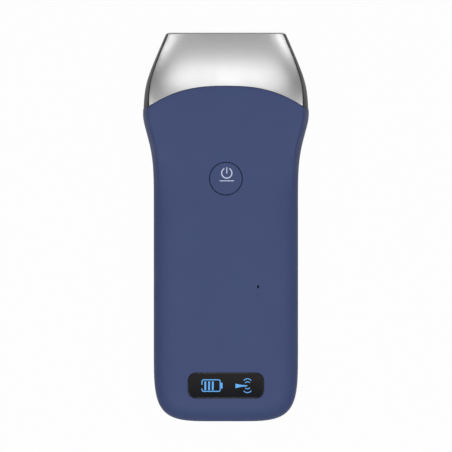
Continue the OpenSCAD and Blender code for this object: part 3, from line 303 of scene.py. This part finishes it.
class Finish:
    """A node material with varied colour, grain, worn edges, and its own roughness and bump."""

    def __init__(self, name, colour, rough=0.45, metal=0.0, vary=0.06, grain=900.0, bump=0.02,
                 rough_vary=0.08, wear=0.12, worn=None, **sockets):
        self.mat = bpy.data.materials.new(name)
        self.mat.use_nodes = True
        self.tree = self.mat.node_tree
        self.shader = self.tree.nodes["Principled BSDF"]
        self.place = self.node("ShaderNodeTexCoord").outputs["Object"]
        for key, value in {"Metallic": metal, **sockets}.items():
            self.shader.inputs[key].default_value = value
        big, fine = self.noise(60.0, 3.0), self.noise(grain, 2.0)
        dark = tuple(c * (1 - vary) for c in colour[:3]) + (1.0,)
        light = tuple(min(1.0, c * (1 + vary)) for c in colour[:3]) + (1.0,)
        self.colour = self.blend(self.ramp(big, 0.3, 0.7), dark, light)
        self.colour = self.blend(self.ramp(fine, 0.35, 0.65, 0.0, 0.25), self.colour, dark)
        pointed = self.node("ShaderNodeNewGeometry").outputs["Pointiness"]
        edge = self.ramp(pointed, 0.52, 0.6, 0, wear)
        worn = worn or tuple(min(1.0, c * 1.5 + 0.02) for c in colour[:3]) + (1.0,)
        self.colour = self.blend(edge, self.colour, worn)
        self.rough = self.ramp(self.noise(160.0, 4.0), 0.3, 0.7,
                               rough - rough_vary / 2, rough + rough_vary / 2)
        self.height = fine
        self.strength = bump
        self.wire()

    def wire(self):
        self.link(self.colour, self.shader.inputs["Base Color"])
        self.link(self.rough, self.shader.inputs["Roughness"])
        b = self.node("ShaderNodeBump", Strength=self.strength, Distance=0.0002)
        self.link(self.height, b.inputs["Height"])
        self.link(b.outputs[0], self.shader.inputs["Normal"])

    def node(self, kind, **values):
        n = self.tree.nodes.new(kind)
        for key, value in values.items():
            if key in n.inputs:
                n.inputs[key].default_value = value
            else:
                setattr(n, key, value)
        return n

    def link(self, a, b):
        self.tree.links.new(a, b)

    def plug(self, value, socket):
        if isinstance(value, bpy.types.NodeSocket):
            self.link(value, socket)
        else:
            socket.default_value = value

    def noise(self, scale, detail, stretch=None):
        n = self.node("ShaderNodeTexNoise", Scale=scale, Detail=detail)
        where = self.place
        if stretch:
            m = self.node("ShaderNodeMapping")
            m.inputs["Scale"].default_value = stretch
            self.link(where, m.inputs["Vector"])
            where = m.outputs[0]
        self.link(where, n.inputs["Vector"])
        return n.outputs["Fac"]

    def ramp(self, value, a, b, low=0.0, high=1.0):
        n = self.node("ShaderNodeMapRange")
        n.inputs["From Min"].default_value, n.inputs["From Max"].default_value = a, b
        n.inputs["To Min"].default_value, n.inputs["To Max"].default_value = low, high
        self.link(value, n.inputs["Value"])
        return n.outputs[0]

    def blend(self, share, a, b):
        n = self.node("ShaderNodeMix", data_type="RGBA")
        self.plug(share, n.inputs[0])
        self.plug(a, n.inputs[6])
        self.plug(b, n.inputs[7])
        return n.outputs[2]


def finish(name, *a, **k):
    return Finish(name, *a, **k).mat


BLUE = srgb(66, 79, 122)
blue = finish("blue_plastic", BLUE, rough=0.55, vary=0.02, grain=2600.0, bump=0.05, wear=0.1,
              **{"Specular IOR Level": 0.2})
# Dark graphite for the head's shell: painted shade for the dark reflections along the head's sides
painted_shade_graphite = finish("graphite_plastic", srgb(34, 34, 35), rough=0.5, vary=0.05, grain=2200.0,
                  bump=0.05, wear=0.05, **{"Specular IOR Level": 0.3})
seal = finish("dark_silicone", srgb(22, 25, 40), rough=0.7, vary=0.1, grain=1800.0, bump=0.08,
              wear=0.0)
flap_soft = finish("flap_silicone", srgb(52, 60, 92), rough=0.6, vary=0.05, grain=2000.0, bump=0.06)
lens_soft = finish("lens_silicone", srgb(172, 172, 173), rough=0.45, vary=0.03, grain=1500.0,
                   bump=0.03)
print_pale = finish("print_pale", srgb(205, 215, 240), rough=0.5, vary=0.03, wear=0.0)
print_sky = finish("print_sky", srgb(98, 178, 244), rough=0.4, vary=0.03, wear=0.0,
                   **{"Emission Color": srgb(60, 150, 255), "Emission Strength": 0.12})


class Metal(Finish):
    """Silver metal brushed along the head's width. Its roughness stays above 0.277."""

    base = srgb(198, 198, 198)[:3]

    def wire(self):
        lines = self.noise(600.0, 3.0, stretch=(0.12, 3.0, 1.0))
        self.colour = self.blend(self.ramp(lines, 0.3, 0.7, 0, 0.35), self.colour,
                                 tuple(c * 0.94 for c in self.base) + (1.0,))
        self.height = lines
        super().wire()


class PaintedReflectionGlass(Finish):
    """Smoked glass with painted reflection and shade: lighter towards the head, darker towards the
    tail.
    """

    def wire(self):
        n = self.node("ShaderNodeSeparateXYZ")
        self.link(self.place, n.inputs[0])
        # Painted reflection and shade: the glass's own tone near the head, a darker tone towards
        # the tail
        reflection_share = self.ramp(n.outputs["Y"], -0.0675, -0.0605)
        self.colour = self.blend(reflection_share, srgb(20, 22, 27), self.colour)
        super().wire()


smoked = PaintedReflectionGlass("smoked_window", srgb(40, 38, 38), rough=0.16, vary=0.05, rough_vary=0.05,
                grain=3000.0, bump=0.004, wear=0.0, **{"Specular IOR Level": 0.3}).mat
silver = Metal("silver_metal", srgb(200, 200, 200), rough=0.288, metal=1.0, vary=0.015,
               rough_vary=0.02, bump=0.02, wear=0.05).mat


# Covers: outer skin with rolled edges, inner skin, and the rims between them


def cover(sign, sink):
    roll, seam_roll, side_steps, crease, face_steps = 0.14, 0.22, 20, 9, 46
    t_a, t_b = EDGE - 0.026, EDGE + 0.016
    t = np.concatenate([np.linspace(0.0167, t_a, side_steps),
                        np.linspace(t_a, t_b, crease + 2)[1:-1],
                        np.linspace(t_b, 1, face_steps)])
    e = edge_at(t)
    phi = np.linspace(0, math.pi / 2, 5)

    def arc(place, inset, sink, outer):
        s = place(t, e)
        x, z = quarter_point(t, s, inset, sink)
        z = np.minimum(z, BODY_T / 2)
        if outer:
            a, b = side_steps - 1, side_steps + crease
            u = np.linspace(0, 1, crease + 2)[1:-1]
            corner = np.array([EDGE])
            peak = quarter_point(corner, place(corner, edge_at(corner)), inset, sink)
            for q, c in ((x, peak[0][0]), (z, min(peak[1][0], BODY_T / 2))):
                q[a + 1:b] = (1 - u) ** 2 * q[a] + 2 * u * (1 - u) * c + u**2 * q[b]
        s0 = place(np.array([0.0]), edge_at(np.array([0.0])))
        w = half_w(s0, inset)[0]
        low = SEAM_GAP / 2
        rx = w - seam_roll + seam_roll * np.sin(phi) if outer else np.full(5, w)
        rz = low + seam_roll * (1 - np.cos(phi))
        z = np.maximum(z, low + seam_roll + 0.02)
        x = np.concatenate([rx, x])
        s = np.concatenate([np.full(5, s0[0]), s])
        z = np.concatenate([rz, z])
        return np.concatenate([np.stack([x, s, z], -1), np.stack([-x, s, z], -1)[-2::-1]])

    rings = np.concatenate([TAIL_LEN * np.linspace(0, 1, 34) ** 2.2,
                            np.linspace(TAIL_LEN, FLARE_AT, 28)[1:],
                            FLARE_AT + np.linspace(0, 1, 36)[1:] * (BROW_AT - FLARE_AT)])

    def placed(r, inset, back):
        def place(t, e):
            n = np.shape(t)
            if r <= TAIL_LEN:
                return np.full(n, tail_in(inset) + r * (TAIL_LEN - tail_in(inset)) / TAIL_LEN)
            if r <= FLARE_AT:
                return np.full(n, float(r))
            share = (r - FLARE_AT) / (BROW_AT - FLARE_AT)
            return FLARE_AT + share * (e - COVER_GAP - back - FLARE_AT)
        return place

    skins = []
    for outer in (True, False):
        inset, depth = (0.0, sink) if outer else (WALL, 0.0)
        rows = [arc(placed(r, inset, roll), inset, depth, outer) for r in rings]
        for th in np.linspace(0, math.pi / 2, 6)[1:]:
            back, more = roll * (1 - math.sin(th)), roll * (1 - math.cos(th))
            rows.append(arc(placed(BROW_AT, inset, back), inset + (more if outer else 0),
                            depth, outer))
        first = rows[0]
        middle = np.array([0, first[0, 1], SEAM_GAP / 2])
        caps = [middle + (first - middle) * c for c in (0, 0.2, 0.4, 0.6, 0.75, 0.87, 0.94, 0.975)]
        skins.append(np.array(caps + rows))
    rows, cols = skins[0].shape[:2]
    v = np.concatenate([k.reshape(-1, 3) for k in skins])
    v[:, 2] = SEAM_Z + sign * v[:, 2]
    n = rows * cols
    faces = grid(rows, cols) + grid(rows, cols, n, flip=True)
    for j in range(rows - 1):
        for i in (0, cols - 1):
            a, b = j * cols + i, (j + 1) * cols + i
            faces.append((a, b, n + b, n + a))
    last = (rows - 1) * cols
    faces += [(last + i, last + i + 1, n + last + i + 1, n + last + i) for i in range(cols - 1)]
    return v, faces


def rounded(cx, cy, a, b, r, power=2.3, n=24):
    """Outline of a bar with corners of a given reach."""
    k = np.linspace(0, math.pi / 2, n)
    qx, qy = a - r + r * np.cos(k) ** (2 / power), b - r + r * np.sin(k) ** (2 / power)
    ring = [(qx, qy), (-qx[::-1], qy[::-1]), (-qx, -qy), (qx[::-1], -qy[::-1])]
    return np.concatenate([np.stack(q, -1) for q in ring]) + (cx, cy)


# Cutters reach past the skin that they open
recess = FLAP_H / 2 + LOOSE
port = prism(stadium(RECESS_END, FLAP_W / 2 + LOOSE, SEAM_Z - recess, SEAM_Z + recess,
                     round_left=False), -2, FLAP_T + LOOSE, up="y")
usb = prism(stadium(-MOUTH_W / 2, MOUTH_W / 2, SEAM_Z - MOUTH_H / 2, SEAM_Z + MOUTH_H / 2),
            -1, TAIL_WALL + 2, up="y")
mouth = [(HOLE_R + RING_ROLL * (1 - math.cos(a)), BODY_T - RING_ROLL * (1 - math.sin(a)))
         for a in np.linspace(0, math.pi / 2, 7)[1:]]
hole = revolve([(HOLE_R, 15), (HOLE_R, BODY_T - RING_ROLL), *mouth, (HOLE_R + RING_ROLL, 21)],
               (0, BUTTON_AT), 128)
seat = prism(rounded(0, WINDOW_AT, WINDOW_W / 2 + LOOSE, WINDOW_L / 2 + LOOSE,
                     PANE_CORNER + LOOSE), 16.5, 24)
slot = prism([(SLOT_X + x, SLOT_AT + y) for y, x in
              stadium(-SLOT_L / 2, SLOT_L / 2, -SLOT_W / 2, SLOT_W / 2)], 15, 22)
front = piece("cover_front", *cover(1, 0.0), stands_for=["front_cover"], slot="blue_plastic",
              material=blue)
cut(front, port, usb, hole, seat, slot)
rear = piece("cover_rear", *cover(-1, SINK), stands_for=["rear_cover"], slot="blue_plastic",
             material=blue)
wells = [revolve([(WELL_R, -1), (WELL_R, WELL_TOP)], (x * side, s), 48)
         for x, s in WELLS for side in (-1, 1)]
cut(rear, port, usb, *wells)

# Head: shell coloured dark graphite as painted shade for the head's sides, two silver skins and the
# lens


def head_loop(kind, share):
    """A closed loop round the head.

    kind is step for the outside with its seats, inner for the hollow, rect for the lens's
    opening, or an inset in millimetres for the neck.
    """
    side, face = 24, 36
    if kind == "step":
        t = np.concatenate([np.linspace(0, EDGE, side), [EDGE, EDGE],
                            np.linspace(EDGE, 1, face)[1:]])
        s0 = edge_at(t)
        for _ in range(3):
            x, z = step_point(t, s0, side)
            s0 = np.where(np.arange(len(t)) < side, s0, brow(x))
        s = mix(s0 + HEAD_GAP, HEAD_END, share)
        x, z = step_point(t, s, side)
    else:
        t = np.concatenate([np.linspace(0, EDGE, side), np.linspace(EDGE, 1, face + 2)[1:]])
        if kind == "inner":
            s = mix(edge_at(t) + HEAD_GAP, HEAD_END - END_WALL, share)
            w = half_w(s, STEP) - SIDE_WALL
            x, z = crisp_point(t, w, half_t(s, STEP) - FASCIA_T - SKIN_GAP - HEAD_WALL,
                               band(s) * (1 - share), 1 - share)
        elif kind == "rect":
            s = np.full(len(t), float(share))
            x = np.where(t < EDGE, LENS_W, LENS_W * (1 - t) / (1 - EDGE))
            z = np.where(t < EDGE, LENS_T * t / EDGE, LENS_T)
        else:
            s = edge_at(t) - share
            x, z = quarter_point(t, s, kind)
    q = np.stack([x, s, z], -1)
    up = np.concatenate([q, q[-2::-1] * (-1, 1, 1)])
    down = up[-2:0:-1] * (1, 1, -1)
    return np.concatenate([up, down]) + (0, 0, SEAM_Z)


def step_point(t, s, side):
    w, h, b = half_w(s, STEP), half_t(s, STEP), band(s)
    x, z = crisp_point(np.minimum(t, EDGE - 1e-9), w, h, b)
    i = np.arange(len(t))
    xr = (w - b - RIM_W) * np.minimum(1, (1 - t) / (1 - EDGE))
    zr = h - face_drop(w, xr / (w - b))
    x = np.where(i < side, x, xr)
    z = np.where(i < side, z, np.where(i == side, zr, zr - FASCIA_T - SKIN_GAP))
    return x, z


loops = [head_loop("step", k) for k in 1 - (1 - np.linspace(0, 1, 30)) ** 1.5]
loops += [head_loop("rect", HEAD_END), head_loop("rect", HEAD_END - END_WALL)]
loops += [head_loop("inner", k) for k in (1, 0.75, 0.5, 0.25, 0)]
neck = WALL + NECK_GAP
loops += [head_loop(neck + NECK_WALL, NECK_LEN), head_loop(neck, NECK_LEN),
          head_loop(neck, -HEAD_GAP)]
n = len(loops[0])
faces = grid(len(loops), n, wrap=True)
last = (len(loops) - 1) * n
faces += [(last + i, last + (i + 1) % n, (i + 1) % n, i) for i in range(n)]
# The head's shell is coloured dark graphite as painted shade on its sides
shell = piece("head_band", np.concatenate(loops), faces, stands_for=["head_shell"],
              slot="graphite_plastic", material=painted_shade_graphite)
soften(shell, 0.08)


def fascia(name, sign, node):
    nx, ns = 90, 50
    v = np.linspace(-1, 1, nx)
    tt = 1 - np.abs(v) * (1 - EDGE)
    s0 = edge_at(tt)

    def width(s):
        return half_w(s, STEP) - band(s) - RIM_W - SKIN_GAP

    s0 = brow(width(s0) * v)
    tops, unders = [], []
    for k in 1 - (1 - np.linspace(0, 1, ns)) ** 1.3:
        s = mix(s0 + HEAD_GAP, HEAD_END, k)
        x = width(s) * v
        z = half_t(s, STEP) - face_drop(half_w(s, STEP), np.abs(x) / (half_w(s, STEP) - band(s)))
        tops.append(np.stack([x, s, SEAM_Z + sign * z], -1))
        unders.append(np.stack([x, s, SEAM_Z + sign * (z - FASCIA_T)], -1))
    n = nx * ns
    f = grid(ns, nx) + grid(ns, nx, n, flip=True)
    f += [(j * nx + i, (j + 1) * nx + i, n + (j + 1) * nx + i, n + j * nx + i)
          for j in range(ns - 1) for i in (0, nx - 1)]
    f += [(j * nx + i, j * nx + i + 1, n + j * nx + i + 1, n + j * nx + i)
          for i in range(nx - 1) for j in (0, ns - 1)]
    o = piece(name, np.concatenate([np.concatenate(tops), np.concatenate(unders)]), f,
              stands_for=[node], slot="silver_metal", material=silver)
    return soften(o, 0.12, 3)


fascia("fascia_front", 1, "front_fascia")
fascia("fascia_rear", -1, "rear_fascia")

rows = []
t = np.concatenate([np.linspace(0, EDGE, 16), np.linspace(EDGE, 1, 40)[1:]])
for u in np.sin(np.linspace(0, math.pi / 2, 12)):
    r = 1 - math.sqrt(max(0.0, 1 - u * u))
    at = np.full(len(t), HEAD_END)
    x, z = crisp_point(t, half_w(at, STEP) - 0.3 - r, half_t(at, STEP) - 0.3 - 2.7 * r, band(at))
    q = np.stack([x, at + 0.5 * u, z], -1)
    up = np.concatenate([q, q[-2::-1] * (-1, 1, 1)])
    rows.append(np.concatenate([up, up[-2:0:-1] * (1, 1, -1)]) + (0, 0, SEAM_Z))
n = len(rows[0])
piece("lens_cover", np.concatenate(rows), grid(len(rows), n, wrap=True) + grid_ends(len(rows), n),
      stands_for=["acoustic_lens"], slot="lens_silicone", material=lens_soft)

# Button, with a shallow dish, and its printed sign
r = BUTTON_R
profile = [(1.5, 16.6), (1.5, 17.4), (7.5, 17.4), (7.5, 18.1), (r, 18.1), (r, CAP_TOP - RING_ROLL)]
profile += [(r - RING_ROLL * (1 - math.cos(a)), CAP_TOP - RING_ROLL * (1 - math.sin(a)))
            for a in np.linspace(0, math.pi / 2, 8)[1:]]
profile += [(q, CAP_TOP - DISH * (1 - (q / (r - RING_ROLL)) ** 2))
            for q in np.linspace(r - RING_ROLL, 0.02, 16)[1:]]
piece("button_cap", *revolve(profile, (0, BUTTON_AT), 160), body="button",
      stands_for=["power_button"], slot="blue_plastic", material=blue)


# Seal under the button: a ring, and a skin that dips to leave room for the button's travel
profile = [(1.62, 16.85), (1.62, 16.72), (2.0, 16.45), (7.0, 16.4), (7.5, 16.5), (7.8, 16.85),
           (9.4, 16.85), (9.4, 18.05), (7.8, 18.05), (7.8, 17.1), (7.4, 16.88), (6.9, 16.8),
           (2.1, 16.85), (1.62, 16.85)]
v, f = revolve(profile, (0, BUTTON_AT), 96)
piece("boot_skin", v, f[:-2], stands_for=["button_boot"], slot="dark_silicone", material=seal)


def dish(x, s):
    q = math.hypot(x, s - BUTTON_AT)
    return CAP_TOP - DISH * (1 - (q / (BUTTON_R - RING_ROLL)) ** 2)


def inlay(name, outlines, top, body, material, slot=None, thick=0.03):
    """Flat printed signs on a face. Each outline is a left and a right row of points."""
    v, f = [], []
    for left, right in outlines:
        n, k = len(left), len(v)
        for side in (left, right):
            v += [(x, s, top(x, s) + thick) for x, s in side]
        for side in (left, right):
            v += [(x, s, top(x, s) - 0.05) for x, s in side]
        for i in range(n - 1):
            a, b, c, d = k + i, k + n + i, k + 2 * n + i, k + 3 * n + i
            f += [(a, a + 1, b + 1, b), (c, d, d + 1, c + 1),
                  (a, c, c + 1, a + 1), (b, b + 1, d + 1, d)]
        for i in (0, n - 1):
            f.append((k + i, k + n + i, k + 3 * n + i, k + 2 * n + i))
    return piece(name, v, f, body=body, material=material, slot=slot, angle=20)


def arc_bar(cx, cy, radius, width, a0, a1, n=40):
    a = np.radians(np.linspace(a0, a1, n))
    return [[(cx + q * math.cos(k), cy + q * math.sin(k)) for k in a]
            for q in (radius - width / 2, radius + width / 2)]


def bar(x0, y0, x1, y1, width, n=6):
    d = np.array([x1 - x0, y1 - y0], float)
    side = np.array([-d[1], d[0]]) / np.hypot(*d) * width / 2
    line = [np.array([x0, y0]) + d * k for k in np.linspace(0, 1, n)]
    return [[tuple(p + side) for p in line], [tuple(p - side) for p in line]]


cx, cy = pixel(226.25, 172.6)
(_, y0), (_, y1) = pixel(0, 166.8), pixel(0, 173.2)
sign = [arc_bar(cx, cy, 2.05, 0.46, 90 + 28, 450 - 28), bar(cx, y0, cx, y1, 0.42)]
(x0, yl), (x1, _) = pixel(219.1, 180.4), pixel(233.4, 180.4)
sign.append(bar(x0, yl, x1, yl, 0.34, 12))
inlay("button_sign", sign, dish, "button", print_pale)

# Window, pillowed like the skin round it, and the two signs of its display
rows = []
ring = rounded(0, 0, WINDOW_W / 2, WINDOW_L / 2, PANE_CORNER)
n = len(ring)
drop = 0.08
for c in (1e-3, 1):
    rows.append(np.stack([ring[:, 0] * c, WINDOW_AT + ring[:, 1] * c, np.full(n, PANE_LOW)], -1))
for a in np.linspace(0, math.pi / 2, 6):
    d = PANE_ROLL * (1 - math.cos(a))
    p = ring * (1 - d / np.hypot(*ring.T))[:, None]
    z = skin_z(p[:, 0], WINDOW_AT + p[:, 1]) - drop - PANE_ROLL * (1 - math.sin(a))
    rows.append(np.stack([p[:, 0], WINDOW_AT + p[:, 1], z], -1))
for c in (0.95, 0.9, 0.82, 0.72, 0.6, 0.45, 0.3, 0.15, 1e-3):
    p = ring * c
    z = skin_z(p[:, 0], WINDOW_AT + p[:, 1]) - drop
    rows.append(np.stack([p[:, 0], WINDOW_AT + p[:, 1], z], -1))
piece("window_pane", np.concatenate(rows), grid(len(rows), n, wrap=True) + grid_ends(len(rows), n),
      stands_for=["display_window"], slot="smoked_window", material=smoked)


def pane(x, s):
    return float(skin_z(x, s)) - drop


def frame_bar(px0, py0, px1, py1, radius, stroke, start, stop, n=60):
    """A rounded frame, open between two places given as shares of its way round."""
    (x0, y1), (x1, y0) = pixel(px0, py0), pixel(px1, py1)
    r = radius
    pts = []
    for cx, cy, a in ((x1 - r, y1 - r, 90), (x1 - r, y0 + r, 0),
                      (x0 + r, y0 + r, -90), (x0 + r, y1 - r, -180)):
        pts += [(cx + r * math.cos(math.radians(k)), cy + r * math.sin(math.radians(k)))
                for k in np.linspace(a, a - 90, 8)]
    pts = np.array(pts + pts[:1])
    gaps = np.hypot(*np.diff(pts, axis=0).T)
    reflection_share = np.concatenate([[0], np.cumsum(gaps)]) / gaps.sum()
    k = np.linspace(start, stop, n)
    line = np.stack([np.interp(k % 1.0, reflection_share, pts[:, i]) for i in (0, 1)], -1)
    d = np.gradient(line, axis=0)
    side = np.stack([-d[:, 1], d[:, 0]], -1) / np.hypot(*d.T)[:, None] * stroke / 2
    return [[tuple(p) for p in line + side], [tuple(p) for p in line - side]]


def block_bar(px0, py0, px1, py1):
    (x0, y0), (x1, y1) = pixel(px0, py0), pixel(px1, py1)
    return bar(x0, (y0 + y1) / 2, x1, (y0 + y1) / 2, abs(y1 - y0), 3)


sign = [frame_bar(201.5, 379.0, 219.7, 390.5, 0.6, 0.4, 0.63, 1.564)]
sign += [block_bar(*p) for p in ((219.6, 382.0, 222.0, 387.7), (203.9, 380.6, 205.7, 389.3),
                                 (207.7, 380.6, 209.5, 389.3), (211.4, 380.6, 213.2, 389.3))]
(ax, ay), (bx, by), (ex, ey) = pixel(234.9, 382.8), pixel(234.9, 387.4), pixel(246.8, 384.5)
_, fy = pixel(0, 385.5)
gx, _ = pixel(240.6, 0)
sign.append([[(ax, ay), (gx, mix(ay, ey, 0.75)), (ex, ey)],
             [(bx, by), (gx, mix(by, fy, 0.75)), (ex, fy)]])
cx, _ = pixel(246.9, 0)
WAVES = ((3.7, 377.4, 379.3, 1), (2.3, 380.4, 381.6, 1),
         (3.7, 392.3, 390.4, -1), (2.3, 388.6, 387.4, -1))
for half, apex, ends, up in WAVES:
    sag, reach = abs(ends - apex) * PIXEL, half * PIXEL
    rad = (reach * reach + sag * sag) / 2 / sag
    turn = math.degrees(math.asin(reach / rad))
    _, top = pixel(0, apex)
    top -= up * 0.2
    mid = 90 if up > 0 else -90
    sign.append(arc_bar(cx, top - up * rad, rad, 0.33, mid - turn, mid + turn, 14))
inlay("window_signs", sign, pane, "probe", print_sky)

# Port flap in its recess, round at its hinge and thinned where a nail lifts it
r, side = FLAP_T / 2, FLAP_H / 2
loops = []
for a in np.linspace(0.2, math.pi / 2, 9):
    loops.append((-FLAP_W / 2 - r * math.cos(a), r * math.sin(a), side))
for x in np.linspace(-FLAP_W / 2, FLAP_W / 2 - side, 12)[1:]:
    loops.append((x, r, side))
for a in np.linspace(0, math.pi / 2, 18)[1:]:
    thin = 0.1 + 0.9 * math.cos(a) ** 0.4 if a < 1.57 else 0.1
    loops.append((FLAP_W / 2 - side + side * math.sin(a), r * thin, max(side * math.cos(a), 0.12)))
rows = []
for x, h, tall in loops:
    q = min(0.28, h * 0.8, tall * 0.8)
    ring = [(h - q + q * math.cos(a), tall - q + q * math.sin(a))
            for a in np.linspace(0, math.pi / 2, 5)]
    ring += [(-y, z) for y, z in ring[::-1]]
    ring += [(y, -z) for y, z in ring[::-1]]
    thinned = FLAP_T / 2 - h if x > 0 else 0
    rows.append([(x, FLAP_T / 2 + y + thinned, SEAM_Z + z) for y, z in ring])
rows = np.array(rows)
piece("flap_cover", rows.reshape(-1, 3), grid(len(rows), rows.shape[1], wrap=True)
      + grid_ends(len(rows), rows.shape[1]), body="flap", stands_for=["port_flap"],
      slot="flap_silicone", material=flap_soft)

# The pip on its inner face, which plugs the socket
PIP_W, PIP_H, PIP_LEN = 7.2, 1.9, 0.8
pip = piece("flap_pip", *prism(rounded(0, SEAM_Z, PIP_W / 2, PIP_H / 2, PIP_H / 4), FLAP_T - 0.05,
                               FLAP_T + PIP_LEN, up="y"),
            body="flap", slot="flap_silicone", material=flap_soft)
soften(pip, 0.12)

# Materials of the pieces that stay as they are in the source
INSIDE = {
    "flap_anchor": flap_soft, "head_gasket": seal, "seam_gasket": seal, "screw_plugs": seal,
    "button_boot": seal, "window_adhesive": seal, "sounder_gasket": seal,
}
SIMPLE = {
    "steel": (srgb(160, 162, 166), 0.32, 1.0), "brass": (srgb(205, 170, 95), 0.3, 1.0),
    "board": (srgb(28, 88, 52), 0.4, 0.0), "chip": (srgb(30, 30, 33), 0.5, 0.0),
    "chassis": (srgb(176, 178, 182), 0.38, 1.0), "foil": (srgb(184, 187, 192), 0.35, 1.0),
    "red": (srgb(150, 30, 26), 0.5, 0.0), "cream": (srgb(226, 220, 204), 0.5, 0.0),
    "foam": (srgb(64, 64, 68), 0.9, 0.0), "copper": (srgb(188, 108, 58), 0.3, 1.0),
    "ferrite": (srgb(52, 52, 54), 0.6, 0.0), "amber": (srgb(196, 120, 40), 0.35, 0.0),
    "pad": (srgb(140, 152, 168), 0.7, 0.0), "backing": (srgb(82, 78, 74), 0.7, 0.0),
    "ceramic": (srgb(214, 200, 156), 0.6, 0.0), "matching": (srgb(80, 108, 102), 0.6, 0.0),
}
kinds = {k: finish(f"inner_{k}", c, rough=q, metal=m) for k, (c, q, m) in SIMPLE.items()}
NODES = {
    "steel": "case_screws shield_can wifi_module switch_body chassis_screws board_screws "
             "tail_screws usb_receptacle afe_shield",
    "brass": "threaded_inserts", "board": "main_board battery_board tail_board afe_board",
    "chip": "processor_chips sounder switch_plunger charger_chips afe_chips display_module",
    "chassis": "chassis array_frame", "foil": "battery_cell", "red": "battery_leads",
    "cream": "battery_connector mezzanine_connector flex_connectors", "foam": "battery_foam",
    "copper": "charging_coil coil_leads", "ferrite": "ferrite_sheet antenna_lead",
    "amber": "antenna display_flex power_flex array_flex_front array_flex_rear",
    "pad": "thermal_pad", "backing": "backing_block", "ceramic": "piezo_array",
    "matching": "matching_layers",
}
for kind, names in NODES.items():
    for name in names.split():
        INSIDE[name] = kinds[kind]
for name, o in frame["nodes"].items():
    o.data.materials.clear()
    o.data.materials.append(INSIDE.get(name, blue))

# Floor, light and camera


def lamp(name, x, y, z, w, h, power):
    """A rectangular lamp aimed at the middle of the part."""
    d = bpy.data.lights.new(name, "AREA")
    d.shape, d.size, d.size_y, d.energy = "RECTANGLE", w, h, power
    o = bpy.data.objects.new(name, d)
    scene.collection.objects.link(o)
    o.location = (x, y, z)
    aim = Vector((0, 0, SEAM_Z * MM)) - Vector((x, y, z))
    o.rotation_euler = aim.to_track_quat("-Z", "Y").to_euler()


me = bpy.data.meshes.new("floor")
FLOOR = 12.0
me.from_pydata([(-FLOOR, -FLOOR, 0), (FLOOR, -FLOOR, 0), (FLOOR, FLOOR, 0), (-FLOOR, FLOOR, 0)],
               [], [(0, 1, 2, 3)])
floor = bpy.data.objects.new("floor", me)
scene.collection.objects.link(floor)
floor.location.z = -0.0001
mat = bpy.data.materials.new("floor_white")
mat.use_nodes = True
tree = mat.node_tree
tree.nodes.clear()
new, link = tree.nodes.new, tree.links.new
path, geo = new("ShaderNodeLightPath"), new("ShaderNodeNewGeometry")
diffuse, glow = new("ShaderNodeBsdfDiffuse"), new("ShaderNodeEmission")
clear = new("ShaderNodeBsdfTransparent")
diffuse.inputs["Color"].default_value = (0.4, 0.4, 0.4, 1)
glow.inputs["Color"].default_value = (1, 1, 1, 1)


def joined(kind, *sockets, operation=None):
    """A node whose first inputs come from the sockets."""
    n = new(kind)
    if operation:
        n.operation = operation
    for i, socket in enumerate(sockets):
        link(socket, n.inputs[i])
    return n


# White for the camera, for gloss and through glass, grey for the light that it throws back,
# and clear from below
direct = joined("ShaderNodeMath", path.outputs["Is Camera Ray"], path.outputs["Is Glossy Ray"],
                operation="MAXIMUM")
seen = joined("ShaderNodeMath", direct.outputs[0], path.outputs["Is Transmission Ray"],
              operation="MAXIMUM")
share = joined("ShaderNodeMath", seen.outputs[0], operation="MULTIPLY")
share.inputs[1].default_value = 0.98
top = joined("ShaderNodeMixShader", share.outputs[0], diffuse.outputs[0], glow.outputs[0])
both = joined("ShaderNodeMixShader", geo.outputs["Backfacing"], top.outputs[0], clear.outputs[0])
joined("ShaderNodeOutputMaterial", both.outputs[0])
me.materials.append(mat)

world = bpy.data.worlds.new("studio")
scene.world = world
world.use_nodes = True
sky = world.node_tree.nodes["Background"]
sky.inputs["Color"].default_value = (1, 1, 1, 1)
sky.inputs["Strength"].default_value = 0.15

# Name, place and size in metres, and power in watts
LAMPS = (
    ("overhead", 0.0, 0.39, 1.55, 0.16, 0.24, 1.06),
    ("diagonal_left", -0.40, 0.84, 1.37, 0.24, 0.2, 1.15),
    ("diagonal_right", 0.40, 0.84, 1.37, 0.24, 0.2, 1.15),
    ("side_left", -0.75, -0.35, 1.42, 0.5, 0.6, 6.9),
    ("side_right", 0.75, -0.35, 1.42, 0.5, 0.6, 6.9),
    ("low", 0.0, -0.68, 1.45, 0.5, 0.3, 3.6),
    ("back", 0.0, 2.2, 0.85, 1.6, 0.6, 2.4),
)
for row in LAMPS:
    lamp(*row)

cam_data = bpy.data.cameras.new("camera")
cam = bpy.data.objects.new("camera", cam_data)
scene.collection.objects.link(cam)
SENSOR, FOCAL = 36.0, 1000.0
cam_data.sensor_width, cam_data.lens = SENSOR, FOCAL
cam_data.clip_start, cam_data.clip_end = 0.1, 60.0
# As far off as makes a pixel at the seam's height the photograph's size
away = PIXEL * FRAME * MM * FOCAL / SENSOR
cam.location = (0.1 * PIXEL * MM, 0.95 * PIXEL * MM, SEAM_Z * MM + away)
scene.camera = cam
scene.view_settings.view_transform = "Standard"
